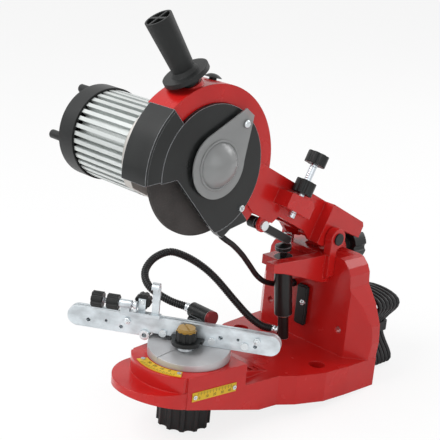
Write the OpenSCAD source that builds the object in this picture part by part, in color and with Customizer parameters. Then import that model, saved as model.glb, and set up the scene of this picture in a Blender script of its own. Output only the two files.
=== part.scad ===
// Electric chainsaw sharpener: bench grinder head on a column, with a swivelling chain vise.
// Millimetres, +Z up, +X to the operator's right, -Y towards the operator.
// Origin: midway between the two bench bolts, on the plane of the base's underside.

/* [Base] */
// Half width of the base at the column
base_half_w = 88; // [84:0.5:96]
// Height of the base's rim and floor
floor_h = 35; // [31:0.5:40]
// Wall of the base and column casting
cast_wall = 5; // [4:0.25:6]
// Height of the block that carries the turntable
block_top = 60; // [56:0.5:66]
// Half width of the block at its front
block_half_w = 45; // [44:0.5:50]
// Radius of the round boss at the front of the block
boss_r = 62; // [60:0.5:66]
// Radius of the half-round nose
nose_r = 50; // [46:0.5:50]
// Height of the nose
nose_top = 43; // [38:0.5:48]
// Distance between the two bench bolts
bench_pitch = 123; // [116:0.5:128]
// Radius of a bench bolt hole
bench_hole_r = 4.5; // [3:0.25:5.5]

/* [Column] */
// Front face of the column, behind the origin
column_y = 40; // [38:0.5:44]
// Depth of the column's side walls
column_depth = 35; // [28:0.5:40]
// Height of the column
column_top = 151; // [149:0.25:152]
// Distance between the two wall bolts
wall_pitch = 108; // [100:0.5:112]
// Height of the wall bolts
wall_hole_z = 66; // [58:0.5:74]
// Radius of a wall bolt hole
wall_hole_r = 4.25; // [3:0.25:5]

/* [Head pose and hinge] */
// Angle of the raised head above level
head_raise = 27.5; // [24:0.5:30]
// Hinge pin behind the origin
hinge_y = 40.5; // [39:0.25:42]
// Height of the hinge pin
hinge_z = 171.7; // [170:0.25:176]
// Radius of the hinge pin
hinge_pin_r = 5; // [4:0.25:6]
// Height of the axis about which the head bracket tilts
tilt_z = 145; // [142:0.5:146]
// Distance from the hinge pin to the wheel's axis
arm_reach = 212.9; // [205:0.5:220]

/* [Grinding wheel and guard] */
// Diameter of the grinding wheel
wheel_d = 145; // [125:0.5:148]
// Thickness of the grinding wheel
wheel_t = 4.8; // [3:0.1:6]
// Diameter of the wheel's bore and of the shaft's seat
wheel_bore_d = 22.2; // [16:0.1:24]
// Outer radius of the red guard
guard_r = 88.3; // [86:0.25:94]
// Radius of the round lid
lid_r = 68.8; // [64:0.25:72]
// Wall of the guard
guard_wall = 4; // [3:0.25:5]
// Outer face of the lid
lid_x = 16; // [15:0.25:18]
// Radius of the clear window
window_r = 35.5; // [30:0.5:38]

/* [Motor] */
// Outer radius of the cooling fins
fin_r = 49.9; // [46:0.25:54]
// Number of cooling fins
fin_count = 36; // [24:2:48]
// Length of the finned housing
fin_len = 84; // [78:0.5:88]
// Radius of the housing tube below the fins
housing_r = 42; // [40:0.5:43]
// Radius of the motor shaft
shaft_r = 7; // [6:0.25:8]

/* [Handle] */
// Diameter of the grip
grip_d = 30; // [26:0.5:34]
// Length of the grip
grip_len = 60; // [56:1:75]

/* [Vise] */
// Swivel of the vise as photographed
vise_turn = 35; // [30:1:38]
// Radius of the turntable
table_r = 45; // [42:0.5:48]
// Length of the vise jaws left of the swivel axis
jaw_left = 138; // [130:1:144]
// Length of the vise jaws right of the swivel axis
jaw_right = 98; // [90:1:104]
// Height of the jaws
jaw_h = 23; // [20:0.5:24]
// Thickness of a jaw
jaw_t = 4; // [3:0.25:5]
// Width of the slot that holds the chain
chain_slot = 1.6; // [1.1:0.1:2]
// Radius of the tension knob
tension_r = 12; // [10:0.25:13]
// Radius of the lock knob below the base
lock_knob_r = 29.6; // [26:0.5:32]

/* [Hydraulics] */
// Outer diameter of the hydraulic hose
hose_d = 9; // [7:0.25:9]
// Outer diameter of the master cylinder
master_d = 21; // [15:0.25:22]
// Outer diameter of the slave cylinder
slave_d = 17; // [14:0.25:18]

/* [Power cord] */
// Outer diameter of the power cord
cord_d = 6; // [5:0.25:7]

/* [Hidden] */
$fn = 48;

gap = 0.3;
fit = 0.05;
red = [0.74, 0.10, 0.10];
black = [0.12, 0.12, 0.13];
steel = [0.70, 0.72, 0.76];
vise_y = -145;
vise_z = block_top;
wheel_r = wheel_d / 2;

// ---- general shapes

module xcyl(r, x0, x1) translate([x0, 0, 0]) rotate([0, 90, 0]) cylinder(r = r, h = x1 - x0);
module ycyl(r, y0, y1) translate([0, y1, 0]) rotate([90, 0, 0]) cylinder(r = r, h = y1 - y0);
module span(a, b) translate(a) cube(b - a);

// Extrusion of a drawing in (Y, Z) from x0 to x1
module side_slab(x0, x1) translate([x0, 0, 0]) rotate([90, 0, 90]) linear_extrude(x1 - x0) children();

// Extrusion of a drawing in (X, Z) from y0 to y1
module front_slab(y0, y1) translate([0, y1, 0]) rotate([90, 0, 0]) linear_extrude(y1 - y0) children();

// Knob with round lobes, standing on z = 0
module lobed_knob(r, h, lobes) {
    groove_r = r * 0.22;
    difference() {
        cylinder(r = r, h = h);
        for (i = [0:lobes - 1]) rotate([0, 0, i * 360 / lobes])
            translate([r + groove_r * 0.45, 0, -1]) cylinder(r = groove_r, h = h + 2, $fn = 24);
    }
}

// Pan-head screw whose seat is z = 0, with a cross slot
module screw(r, h, shank_r, shank_l) {
    difference() {
        cylinder(r = r, h = h);
        translate([-r * 0.7, -r * 0.12, h * 0.5]) cube([r * 1.4, r * 0.24, h]);
        translate([-r * 0.12, -r * 0.7, h * 0.5]) cube([r * 0.24, r * 1.4, h]);
    }
    translate([0, 0, -shank_l]) cylinder(r = shank_r, h = shank_l);
}

// Places of the moving groups
module at_head() translate([0, hinge_y, hinge_z]) rotate([-head_raise, 0, 0]) children();
module at_wheel() at_head() translate([0, -arm_reach, 0]) children();
module at_vise() translate([0, vise_y, vise_z]) rotate([0, 0, vise_turn]) children();

// ---- swept tubes

function unit(v) = v / norm(v);
function mix(a, b, t) = a + (b - a) * t;
// Point at t between p1 and p2 of a smooth curve through four points
function curve_at(p0, p1, p2, p3, t) = 0.5 * ((2 * p1) + (p2 - p0) * t
    + (2 * p0 - 5 * p1 + 4 * p2 - p3) * t * t + (3 * p1 - p0 - 3 * p2 + p3) * t * t * t);
function smooth_path(p, steps) = let (n = len(p) - 1) concat(
    [for (i = [0:n - 1]) for (k = [0:steps - 1])
        curve_at(p[max(i - 1, 0)], p[i], p[i + 1], p[min(i + 2, n)], k / steps)], [p[n]]);
function path_dir(p, i) = unit(p[min(i + 1, len(p) - 1)] - p[max(i - 1, 0)]);
// Normals carried along the path without twist
function carried(p, i) = i == 0
    ? unit(cross(path_dir(p, 0), abs(path_dir(p, 0)[2]) < 0.9 ? [0, 0, 1] : [1, 0, 0]))
    : let (t = path_dir(p, i), n = carried(p, i - 1)) unit(n - (n * t) * t);

module tube(p, radii, sides) {
    n = len(p);
    rings = [for (i = [0:n - 1]) let (t = path_dir(p, i), u = carried(p, i), v = cross(t, u))
        for (k = [0:sides - 1]) let (a = 360 * k / sides) p[i] + radii[i] * (cos(a) * u + sin(a) * v)];
    ends = [p[0], p[n - 1]];
    sheet = [for (i = [0:n - 2]) for (k = [0:sides - 1]) let (a = i * sides + k,
        b = i * sides + (k + 1) % sides) each [[a, a + sides, b], [b, a + sides, b + sides]]];
    caps = [for (k = [0:sides - 1]) let (b = (k + 1) % sides, e = (n - 1) * sides)
        each [[k, b, n * sides], [e + b, e + k, n * sides + 1]]];
    polyhedron(concat(rings, ends), concat(sheet, caps));
}

// ---- base and column

block_front = -185;
block_back = -108;
rim_y = -60;
column_back = column_y + column_depth;
slope_start = -85;
slope_rise = 0.24;
column_foot = 66;
wing_y = 62;
tilt_boss_r = 14;
tilt_boss_y = 88;
tilt_stud_r = 6;
stud_r = 8;
knob_seat_z = 16;
recess_gap = 1.5;
pin_boss_r = 10;

module base_plan() polygon([[-base_half_w, column_back], [base_half_w, column_back],
    [base_half_w - 2, 26], [base_half_w - 5, -8], [70, -42], [58.6, rim_y], [53.5, block_back],
    [block_half_w, block_front], [-block_half_w, block_front], [-53.5, block_back], [-58.6, rim_y],
    [-70, -42], [5 - base_half_w, -8], [2 - base_half_w, 26]]);

// Outline of the column from the front, drawn in by w
function column_side(w) = [[base_half_w - 0.5 - w, 0], [base_half_w - 0.5 - w, 38], [89 - w, 55],
    [87 - w, 76], [77 - w, 100], [69 - w, 112], [63.8 - w, 119.5], [62.5 - w, 134],
    [58.6 - w, 142 - w / 2], [51 - w, column_top - 1.5 - w], [44 - w, column_top - w]];
module column_outline(w) let (s = column_side(w), n = len(s))
    polygon(concat(s, [for (i = [n - 1:-1:0]) [-s[i][0], s[i][1]]]));
module column_plan(w, y0, y1) polygon([[-column_foot + w, y0], [column_foot - w, y0],
    [base_half_w + 1 - w, wing_y + y0 - column_y], [base_half_w + 1 - w, y1],
    [-base_half_w - 1 + w, y1], [-base_half_w - 1 + w, wing_y + y0 - column_y]]);

module column_shell() {
    top = column_top + 1;
    difference() {
        intersection() {
            translate([0, 0, floor_h - cast_wall]) linear_extrude(top)
                column_plan(0, column_y, column_back);
            front_slab(column_y, column_back) column_outline(0);
        }
        intersection() {
            translate([0, 0, floor_h + 1]) linear_extrude(top)
                column_plan(cast_wall, column_y + cast_wall + 2, column_back + 1);
            front_slab(column_y, column_back + 2) column_outline(cast_wall);
        }
    }
    for (s = [-1, 1]) translate([s * wall_pitch / 2, 0, wall_hole_z])
        ycyl(9, column_y + 1, column_y + cast_wall + 5);
    translate([0, 0, tilt_z]) ycyl(tilt_boss_r, column_y + 1, tilt_boss_y);
}

module base_body() {
    difference() {
        union() {
            linear_extrude(floor_h) base_plan();
            linear_extrude(block_top) polygon([[-block_half_w, block_front], [block_half_w, block_front],
                [53.5, block_back], [-53.5, block_back]]);
            intersection() {
                translate([0, vise_y, 0]) cylinder(r = boss_r, h = block_top, $fn = 96);
                span([2 - block_half_w, vise_y - 70, 20], [block_half_w - 2, vise_y, block_top]);
            }
            translate([-6, block_front + 4, 18]) cylinder(r = nose_r, h = nose_top - 18, $fn = 96);
            side_slab(4 - block_half_w, block_half_w - 4) polygon([[block_back - 4, 10],
                [block_back - 4, 46], [block_back + 2, 46], [rim_y, floor_h], [rim_y, 10]]);
        }
        // underside rises towards the front
        side_slab(-base_half_w - 5, base_half_w + 5) polygon([[slope_start, -1], [slope_start, 0],
            [-240, (slope_start + 240) * slope_rise], [-240, -1]]);
        // hollow below the floor
        translate([0, 0, -1]) linear_extrude(floor_h - cast_wall + 1) polygon([
            [cast_wall - base_half_w, column_back - cast_wall], [base_half_w - cast_wall,
            column_back - cast_wall], [base_half_w - 8, 26], [base_half_w - 12, -8], [63, -42],
            [52, rim_y], [47, -96], [-47, -96], [-52, rim_y], [-63, -42], [12 - base_half_w, -8],
            [8 - base_half_w, 26]]);
    }
    for (s = [-1, 1]) translate([s * bench_pitch / 2, 0, 0]) cylinder(r = 11, h = floor_h);
}

module base_casting() color(red) difference() {
    union() {
        base_body();
        column_shell();
    }
    for (s = [-1, 1]) {
        translate([s * bench_pitch / 2, 0, -1]) cylinder(r = bench_hole_r, h = floor_h + 2);
        translate([s * bench_pitch / 2, 0, 14]) cylinder(r = 9, h = floor_h);
        translate([s * wall_pitch / 2, 0, wall_hole_z])
            ycyl(wall_hole_r, column_y - 1, column_back);
        // ribs of the slope behind the turntable stand between these slots
        for (i = [0:2]) span([s * 32 - 6, block_back + 10 + i * 12, floor_h],
            [s * 32 + 6, block_back + 16 + i * 12, block_top]);
    }
    translate([0, 0, tilt_z]) ycyl(tilt_stud_r + fit, column_y - 1, tilt_boss_y + 1);
    translate([0, vise_y, -1]) cylinder(r = stud_r + fit, h = block_top + 2);
    translate([0, vise_y, -1]) cylinder(r = lock_knob_r + recess_gap, h = knob_seat_z + 1);
    // cord hole in the rear wall
    translate([gland_x, 0, gland_z]) ycyl(gland_r + fit, column_back - cast_wall - 3, column_back + 1);
    // lead hole through the front plate
    translate([lead_hole_x, 0, lead_hole_z]) ycyl(lead_r + gap, column_y - 1, column_y + 12);
}

scale_t = 0.8;
scale_in_r = 47;
scale_out_r = 59;
// Ring sector from angle a0 to a1, anticlockwise from +X
module sector(r0, r1, a0, a1) difference() {
    intersection() {
        circle(r = r1, $fn = 96);
        polygon(concat([[0, 0]], [for (i = [0:8]) let (a = mix(a0, a1, i / 8)) r1 * 1.3 * [cos(a), sin(a)]]));
    }
    circle(r = r0, $fn = 96);
}

module swivel_scale() translate([0, vise_y, block_top]) difference() {
    linear_extrude(scale_t) sector(scale_in_r, scale_out_r, -111, -50);
    for (a = [-108, -53]) rotate([0, 0, a]) translate([(scale_in_r + scale_out_r) / 2, 0, -1])
        cylinder(r = 1.3 + fit, h = 4, $fn = 24);
}

// Right side wall of the block: places along it, measured from its front corner
side_lean = atan2(8.5, block_back - block_front);
module at_side() translate([block_half_w, block_front, 0]) rotate([0, 0, 90 - side_lean])
    rotate([90, 0, 0]) children();
side_scale_len = 58;
side_scale_z = 37;
module side_scale() at_side() difference() {
    translate([6, side_scale_z - 5, 0]) cube([side_scale_len, 10, scale_t]);
    for (u = [9, 3 + side_scale_len]) translate([u, side_scale_z, -1])
        cylinder(r = 1.3 + fit, h = 4, $fn = 24);
}

module angle_scales() color([0.86, 0.70, 0.16]) {
    swivel_scale();
    side_scale();
}

module scale_screws() color(steel) {
    translate([0, vise_y, block_top]) for (a = [-108, -53]) rotate([0, 0, a])
        translate([(scale_in_r + scale_out_r) / 2, 0, scale_t]) screw(2.4, 1.4, 1.3, scale_t);
    at_side() for (u = [9, 3 + side_scale_len]) translate([u, side_scale_z, scale_t])
        screw(2.4, 1.4, 1.3, scale_t);
}

lock_knob_h = 34;
module lock_knob() color(black) translate([0, vise_y, knob_seat_z - gap - lock_knob_h]) difference() {
    lobed_knob(lock_knob_r, lock_knob_h, 12);
    translate([0, 0, 10]) cylinder(r = stud_r + fit, h = lock_knob_h);
}

module pivot_stud() color(steel) translate([0, vise_y, knob_seat_z - lock_knob_h + 12])
    cylinder(r = stud_r, h = block_top - knob_seat_z + lock_knob_h - 12 + 6);

// ---- vise, in its own frame: X along the jaws, Y to the back, Z above the block

table_front_h = 7;
table_mid_h = 13;
stand_x0 = -56;
stand_x1 = 24;
jaw_z = 13;
jaw_top = jaw_z + jaw_h;
moving_y = jaw_t + chain_slot;
slave_y = 28;
slave_z = 37.5;
slave_s = 5;
stud_top = 6;
tension_x = -2;
washer_z0 = 10.9;
washer_r = 8.5;
tension_y = -12;
roll_x = -50;
roll_z = 15;
roll_r = 5.5;

module turntable() color([0.62, 0.63, 0.66]) at_vise() difference() {
    translate([0, 0, gap]) cylinder(r = table_r, h = 17, $fn = 96);
    // the top slopes down to the front
    side_slab(-60, 60) polygon([[-60, table_front_h - 2], [-45, table_front_h], [0, table_mid_h - gap],
        [45, 16.5], [60, 17], [60, 40], [-60, 40]]);
    // seats of the jaws, the stand and the tension spigot
    span([-60, -1, table_mid_h - gap], [60, moving_y + jaw_t + 2, 40]);
    span([stand_x0 - gap, 0, table_mid_h - gap], [stand_x1 + gap, 34, 40]);
    translate([tension_x, tension_y, washer_z0 - gap]) cylinder(r = washer_r + gap, h = 30);
    translate([0, 0, -1]) cylinder(r = stud_r + fit, h = stud_top + 1 + fit);
    // line against the scale
    rotate([0, 0, -125]) translate([0, -0.4, 5.6]) cube([table_r + 1, 0.8, 20]);
}

// Stand: foot on the turntable and wall that carries the jaws
module jaw_stand() color([0.62, 0.63, 0.66]) at_vise() difference() {
    union() {
        span([stand_x0 + 16, moving_y + jaw_t + gap, jaw_z], [stand_x1, 16, jaw_z + 6]);
        span([stand_x0, moving_y + jaw_t + gap, jaw_z], [stand_x0 + 18, 14, jaw_z + 8]);
    }
    translate([roll_x, 0, roll_z]) ycyl(roll_r + fit, -20, 30);
}

jaw_holes = [[-114, 8.6, 2.2], [-94, 10.7, 1.6], [-70.5, 14.6, 2], [-77, 6.5, 2], [33, 11.7, 2.5],
    [52, 12.6, 1.6], [72.6, 14.9, 2], [71, 7.7, 2]];
jaw_pins = [[-30, 7], [24, 7], [60, 7]];
jaw_pin_r = 2.5;
jaw_notch_x = [-45, -16];

module jaw_outline() difference() {
    union() {
        translate([jaw_h / 2 - jaw_left, jaw_h / 2]) circle(r = jaw_h / 2);
        translate([jaw_right - jaw_h / 2, jaw_h / 2]) circle(r = jaw_h / 2);
        translate([jaw_h / 2 - jaw_left, 0]) square([jaw_left + jaw_right - jaw_h, jaw_h]);
    }
    translate([jaw_notch_x[0], -1]) square([jaw_notch_x[1] - jaw_notch_x[0], 6]);
    for (p = jaw_pins) translate(p) circle(r = jaw_pin_r + fit);
    translate([roll_x, roll_z - jaw_z]) circle(r = roll_r + fit);
}

module fixed_jaw() color(steel) at_vise() translate([0, 0, jaw_z]) difference() {
    front_slab(0, jaw_t) jaw_outline();
    for (h = jaw_holes) translate([h[0], 0, h[1]]) ycyl(h[2], -1, jaw_t + 1);
}

module moving_jaw() color(steel) at_vise() translate([0, 0, jaw_z])
    front_slab(moving_y, moving_y + jaw_t) jaw_outline();

// Guide pins: heads on the front jaw, shanks through both jaws
module jaw_screws() color([0.80, 0.81, 0.84]) at_vise() for (p = jaw_pins)
    translate([p[0], 0, jaw_z + p[1]]) {
        ycyl(jaw_pin_r, 0, moving_y + jaw_t - 0.2);
        ycyl(4.2, -2.4, 0);
    }

module roll_pin() color([0.80, 0.81, 0.84]) at_vise() translate([roll_x, 0, roll_z]) difference() {
    ycyl(roll_r, -3, 13.8);
    ycyl(roll_r - 3, -4, 8);
}

// Tension knob in front of the jaws, turning on a fixed spigot
tension_z0 = 17;
tension_top = 36;
spigot_r = 4;
module at_tension() at_vise() translate([tension_x, tension_y, 0]) children();
module tension_knob() color([0.16, 0.16, 0.17]) at_tension() difference() {
    translate([0, 0, tension_z0 + 4 + gap]) lobed_knob(tension_r - 0.6, 11, 10);
    translate([0, 0, tension_z0]) cylinder(r = spigot_r + fit, h = 12);
}
module tension_dial() color([0.62, 0.47, 0.14]) at_tension() difference() {
    translate([0, 0, tension_z0 + 15 + gap])
        cylinder(r = tension_r - 2.6, h = tension_top - tension_z0 - 15 - gap);
    rotate([0, 0, 30]) translate([-1, -20, tension_top - 1]) cube([2, 40, 3]);
}
// Flange plate under the knob, bolted to the front jaw
module tension_plate() color(black) at_tension() difference() {
    union() {
        translate([0, 0, tension_z0]) cylinder(r = tension_r + 3.2, h = 4);
        translate([-18, 2, tension_z0 + 1]) cube([36, -tension_y - 2 - 0.1, 3]);
    }
    translate([-40, -tension_y - 0.1, 0]) cube([80, 20, 60]);
    translate([0, 0, tension_z0 - 1]) cylinder(r = spigot_r + fit, h = 12);
}
module tension_washer() color(steel) at_tension() {
    translate([0, 0, washer_z0]) cylinder(r = washer_r, h = tension_z0 - washer_z0);
    translate([0, 0, tension_z0]) cylinder(r = spigot_r, h = 11);
}

slave_half = 14;
slave_wall = 3;
piston_r = 3.5;
piston_z = 27;
pedestal = [[-8, 16.3, jaw_z], [18, 31, slave_z - 3]];
// The cylinder lies along the base's X axis
module at_slave() at_vise() translate([slave_s, slave_y, slave_z]) rotate([0, 0, -vise_turn]) children();
module slave_cylinder() color([0.20, 0.20, 0.21]) difference() {
    union() {
        at_slave() xcyl(slave_d / 2, -slave_half, slave_half);
        at_vise() span(pedestal[0], pedestal[1]);
    }
    at_slave() xcyl(slave_d / 2 - slave_wall, 4 - slave_half, slave_half + 1);
    at_slave() xcyl(3, -slave_half - 1, 5 - slave_half);
    at_slave() xcyl(slave_d / 2 + 1, slave_half, slave_half + 8);
    at_vise() translate([slave_s, 0, piston_z]) ycyl(piston_r + fit, 0, slave_y);
}

module slave_end_cap() color([0.45, 0.07, 0.07]) at_slave() {
    xcyl(slave_d / 2, slave_half, slave_half + 4);
    xcyl(slave_d / 2 - slave_wall - fit, slave_half - 5, slave_half);
}

// Piston pin that pushes the rear jaw against the chain
module jaw_piston() color([0.80, 0.81, 0.84]) at_vise() translate([slave_s, 0, piston_z])
    ycyl(piston_r, moving_y + jaw_t, slave_y - 2);

// Chain stop at the left end of the jaws
stop_z = 48;
stop_rod_r = 3;
stop_x = [-104, -86.3, -73, -56];
module stop_screw() color(steel) at_vise() translate([0, -2, stop_z]) {
    xcyl(stop_rod_r, stop_x[0] + 2, stop_x[2] + 12);
}
module stop_end_knob() color(black) at_vise() translate([stop_x[0] + 6, -2, stop_z]) rotate([0, -90, 0])
    difference() {
        lobed_knob(9, 12, 8);
        translate([0, 0, -1]) cylinder(r = stop_rod_r + fit, h = 7);
    }
module stop_lock_knob() color(black) at_vise() translate([stop_x[1] + 6, -2, stop_z]) rotate([0, -90, 0])
    difference() {
        lobed_knob(8.5, 12.6, 8);
        translate([0, 0, -1]) cylinder(r = stop_rod_r + fit, h = 20);
    }
// Barrel, post and foot of the stop, standing on the fixed jaw
module stop_arm() color([0.66, 0.67, 0.70]) at_vise() difference() {
    union() {
        translate([0, -2, stop_z]) xcyl(4.5, stop_x[2] - 7, stop_x[2] + 7);
        span([stop_x[2] - 5, -4, jaw_top], [stop_x[2] + 5, jaw_t, stop_z - 1]);
        span([stop_x[2] - 5, -4, jaw_top], [-34, jaw_t, jaw_top + 4]);
        span([-44, -1, jaw_top], [-36, 3, 71]);
        span([stop_x[3] - 4, jaw_t - 1.5, jaw_top], [stop_x[3] + 4, jaw_t, stop_z + 6]);
        translate([-40, -4, 71]) rotate([0, 90, 0]) translate([0, 0, -4]) difference() {
            cylinder(r = 6.5, h = 8);
            translate([0, 0, -1]) cylinder(r = 3, h = 12);
            translate([0, -8, -1]) cube([8, 16, 12]);
        }
    }
    translate([0, -2, stop_z]) xcyl(stop_rod_r + fit, stop_x[2] - 10, stop_x[2] + 10);
    translate([stop_x[3], 0, stop_z + 2]) ycyl(2.5 + fit, -8, 12);
}
module stop_arm_knob() at_vise() translate([stop_x[3], jaw_t + gap, stop_z + 2]) {
    color(black) rotate([-90, 0, 0]) lobed_knob(9, 9.2, 8);
    color(steel) ycyl(2.5, -1.8, 0);
}
// Pawl that catches a cutter, hung on the end of the stop rod
module chain_pawl() color(steel) at_vise() difference() {
    union() {
        translate([stop_x[2] + 9.5, -2, stop_z]) xcyl(4.2, 0, 3);
        span([stop_x[2] + 9.5, -4.2, jaw_top + 5], [stop_x[2] + 12.5, 0.5, stop_z]);
    }
    translate([0, -2, stop_z]) xcyl(stop_rod_r + fit, stop_x[2], stop_x[2] + 20);
}

// ---- head bracket and tilt

ear_in = 28;
ear_out = 38;
prong_x = [20, 32];
prong_tip = -58;
bracket_back = column_y - gap;
bracket_plate = 12;
master_top = [0, -7.7, 147];
master_foot = [0, 8, 44];
master_lean = atan2(master_foot[1] - master_top[1], master_top[2] - master_foot[2]);
// Frame of the master cylinder: Z up along its axis, origin at its foot
module at_master() translate(master_foot) rotate([master_lean, 0, 0]) children();
master_len = norm(master_top - master_foot);
block_z1 = master_len - 1;

module head_bracket() color(red) difference() {
    union() {
        front_slab(bracket_back - bracket_plate, bracket_back) polygon([[-ear_out, 153.5], [ear_out, 153.5],
            [ear_out, 128], [24, 117], [-24, 117], [-ear_out, 128]]);
        for (s = [-1, 1]) side_slab(s > 0 ? ear_in : -ear_out, s > 0 ? ear_out : -ear_in) {
            polygon([[bracket_back - bracket_plate, 128], [bracket_back, 128],
                [bracket_back, column_top + 8], [hinge_y + 8, hinge_z - 9], [hinge_y + 11.5, hinge_z],
                [hinge_y - 11.5, hinge_z]]);
            translate([hinge_y, hinge_z]) circle(r = 12);
        }
        side_slab(prong_x[0], prong_x[1]) polygon([[prong_tip, 147], [prong_tip, 157],
            [8, 153.5], [bracket_back, 153.5], [bracket_back, 118], [27, 120], [-10, 133], [-40, 143]]);
        // shelf that holds the master cylinder
        side_slab(-20, prong_x[0] + 1) polygon([[-21, 136], [-21, 147], [bracket_back - 5, 147],
            [bracket_back - 5, 122], [20, 126]]);
    }
    translate([0, hinge_y, hinge_z]) xcyl(hinge_pin_r + fit, -ear_out - 1, ear_out + 1);
    translate([0, 0, tilt_z]) ycyl(tilt_stud_r + fit, bracket_back - bracket_plate + 2, column_y);
    at_master() cylinder(r = master_d / 2 + fit, h = block_z1 + 20);
}

module tilt_stud() color(steel) translate([0, 0, tilt_z])
    ycyl(tilt_stud_r, bracket_back - bracket_plate + 3, tilt_boss_y + 22);

tilt_knob_r = 22;
module tilt_knob() color(black) translate([0, tilt_boss_y + gap, tilt_z]) rotate([-90, 0, 0]) difference() {
    union() {
        translate([0, 0, 8]) lobed_knob(tilt_knob_r, 20, 6);
        cylinder(r = tilt_knob_r * 0.6, h = 10);
    }
    translate([0, 0, -1]) cylinder(r = tilt_stud_r + fit, h = 24);
}

module hinge_pin() color([0.80, 0.81, 0.84]) translate([0, hinge_y, hinge_z]) {
    xcyl(hinge_pin_r, -ear_out, ear_out);
    xcyl(7, ear_out, ear_out + 2);
    xcyl(7, -ear_out - 2, -ear_out);
}

plunger_r = 4;
cup_h = 6.4;
cup_r = 9.5;
plunger_travel = 8;
module master_cylinder() color([0.15, 0.15, 0.16]) at_master() difference() {
    union() {
        translate([0, 0, 32]) cylinder(r = master_d / 2, h = block_z1 - 30);
        cylinder(r = 6.3, h = 40);
    }
    translate([0, 0, 42]) cylinder(r = plunger_r + fit, h = block_z1);
    translate([0, 0, -1]) cylinder(r = 3, h = 12);
}
module cylinder_ring() color([0.62, 0.30, 0.14]) at_master() translate([0, 0, 30]) difference() {
    cylinder(r = 7.6, h = 2);
    translate([0, 0, -1]) cylinder(r = 6.3 + fit, h = 4);
}

nose_r_link = 4.7;
link_rear = [-42, -24.5];
link_front = [-104, -24.5];
// Height above the master cylinder's foot at which the link's nose rests
nose_drop = hinge_z - link_rear[0] * sin(head_raise) + link_rear[1] * cos(head_raise) - nose_r_link;
plunger_top = (nose_drop - master_foot[2]) / cos(master_lean) - 1.4;
module plunger() color([0.72, 0.73, 0.76]) at_master() {
    translate([0, 0, 60]) cylinder(r = plunger_r, h = plunger_top - 62);
    translate([0, 0, plunger_top - cup_h]) cylinder(r = cup_r, h = cup_h - 2);
    intersection() {
        translate([0, 0, plunger_top - 20]) sphere(r = 20, $fn = 64);
        translate([0, 0, plunger_top - 3]) cylinder(r = 8.6, h = 8);
    }
}

// ---- head: arm and guard, in the arm's own level frame from the hinge pin

arm_x = [-25, 14];
seam_z0 = 1.6;
seam_slope = -0.375;
arm_wall = 5;
pin_half = 27;

module below_seam(d = 0) polygon([[-120, seam_z0 + 120 * -seam_slope - d], [130, seam_z0 + 130 * seam_slope - d],
    [130, -150], [-120, -150]]);

// Front end of the arm, inside the guard
arm_front = guard_r - arm_reach - 25.4;
module arm_outline() {
    polygon([[arm_front, 33], [-20, 34], [46, 34], [50, 30], [50, 15], [14, 13], [12, 0], [0, -12], [-12, -15],
        [-20, -14], [-34, -8], [-86, -8], [-92, -18], [arm_front + 22, -18], [arm_front, -10]]);
    circle(r = 12);
    // ears of the link's bolt
    translate(link_front) circle(r = 8);
    translate([link_front[0] - 8, link_front[1]]) square([16, 12]);
}

seat_x = -7;
module arm_channel() difference() {
    polygon([[-118, -36], [-118, 28], [40, 28], [40, 10], [12, 10], [12, -36]]);
    circle(r = pin_boss_r);
}

module head_arm() color(red) at_head() difference() {
    union() {
        side_slab(arm_x[0], arm_x[1]) arm_outline();
        intersection() {
            side_slab(-pin_half, pin_half) arm_outline();
            span([-pin_half, -19, -20], [pin_half, 60, 40]);
        }
        // lug for the depth screw
        side_slab(arm_x[1] - 2, depth_x + 8) polygon([[-104, 3], [-104, 20], [-66, 23], [-60, 17],
            [-60, 3]]);
        // guard casting
        translate([0, -arm_reach, 0]) difference() {
            side_slab(arm_x[0], 12) difference() {
                circle(r = guard_r, $fn = 128);
                below_seam();
            }
            side_slab(arm_x[0] + guard_wall, 8) circle(r = guard_r - guard_wall, $fn = 128);
            side_slab(7, 13) circle(r = lid_r + gap, $fn = 128);
            xcyl(15, arm_x[0] - 1, 0);
        }
        translate([0, -arm_reach, 0]) handle_place() translate([0, 0, -stub_len - 2])
            cylinder(r = stub_r + 4, h = stub_len - 1);
        // neck that carries the motor
        translate([0, -arm_reach, 0]) difference() {
            xcyl(27, -46, arm_x[0] + 2);
            xcyl(20, -47, arm_x[0] + 3);
        }
    }
    // channel below the arm
    side_slab(arm_x[0] + arm_wall, seat_x) difference() {
        arm_channel();
        // seat of the return spring
        polygon([[-46, -9], [-46, -4], [-8, 6], [-8, -2], [-20, -9]]);
    }
    side_slab(seat_x - 0.01, arm_x[1] - arm_wall + 1.5) arm_channel();
    // clear of the guard's inside
    translate([0, -arm_reach, 0]) side_slab(arm_x[0] + guard_wall, 8) circle(r = guard_r - guard_wall, $fn = 128);
    translate([0, -arm_reach, 0]) side_slab(7, 20) circle(r = lid_r + gap, $fn = 128);
    translate([0, -arm_reach, 0]) side_slab(arm_x[0] - 5, 20) intersection() {
        circle(r = guard_r + 3, $fn = 128);
        below_seam();
    }
    xcyl(hinge_pin_r + fit, -40, 40);
    translate([0, -arm_reach, 0]) handle_place() translate([0, 0, -stub_len]) cylinder(r = stub_r + fit, h = 40);
    translate([0, -arm_reach, 0]) rotate([switch_angle, 0, 0]) translate([switch_x, guard_r, 0])
        rotate([-90, 0, 0]) translate([0, 0, -10]) cylinder(r = button_stem_r + fit, h = 20);
    translate([depth_x, depth_y, 0]) cylinder(r = depth_r + fit, h = 60);
    translate([0, link_front[0], link_front[1]]) xcyl(3 + fit, -30, 30);
}

depth_x = 26.2;
depth_y = -81;
depth_r = 4;
depth_travel = 9;
module depth_screw() color(steel) at_head() translate([depth_x, depth_y, 0]) {
    translate([0, 0, -3.7]) cylinder(r = depth_r, h = 68);
    translate([0, 0, 60]) lobed_knob(12, 13, 8);
}
module depth_lock_knob() color(black) at_head() translate([depth_x, depth_y, 25]) difference() {
    lobed_knob(11.5, 15, 8);
    translate([0, 0, -1]) cylinder(r = depth_r + fit, h = 20);
}

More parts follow.
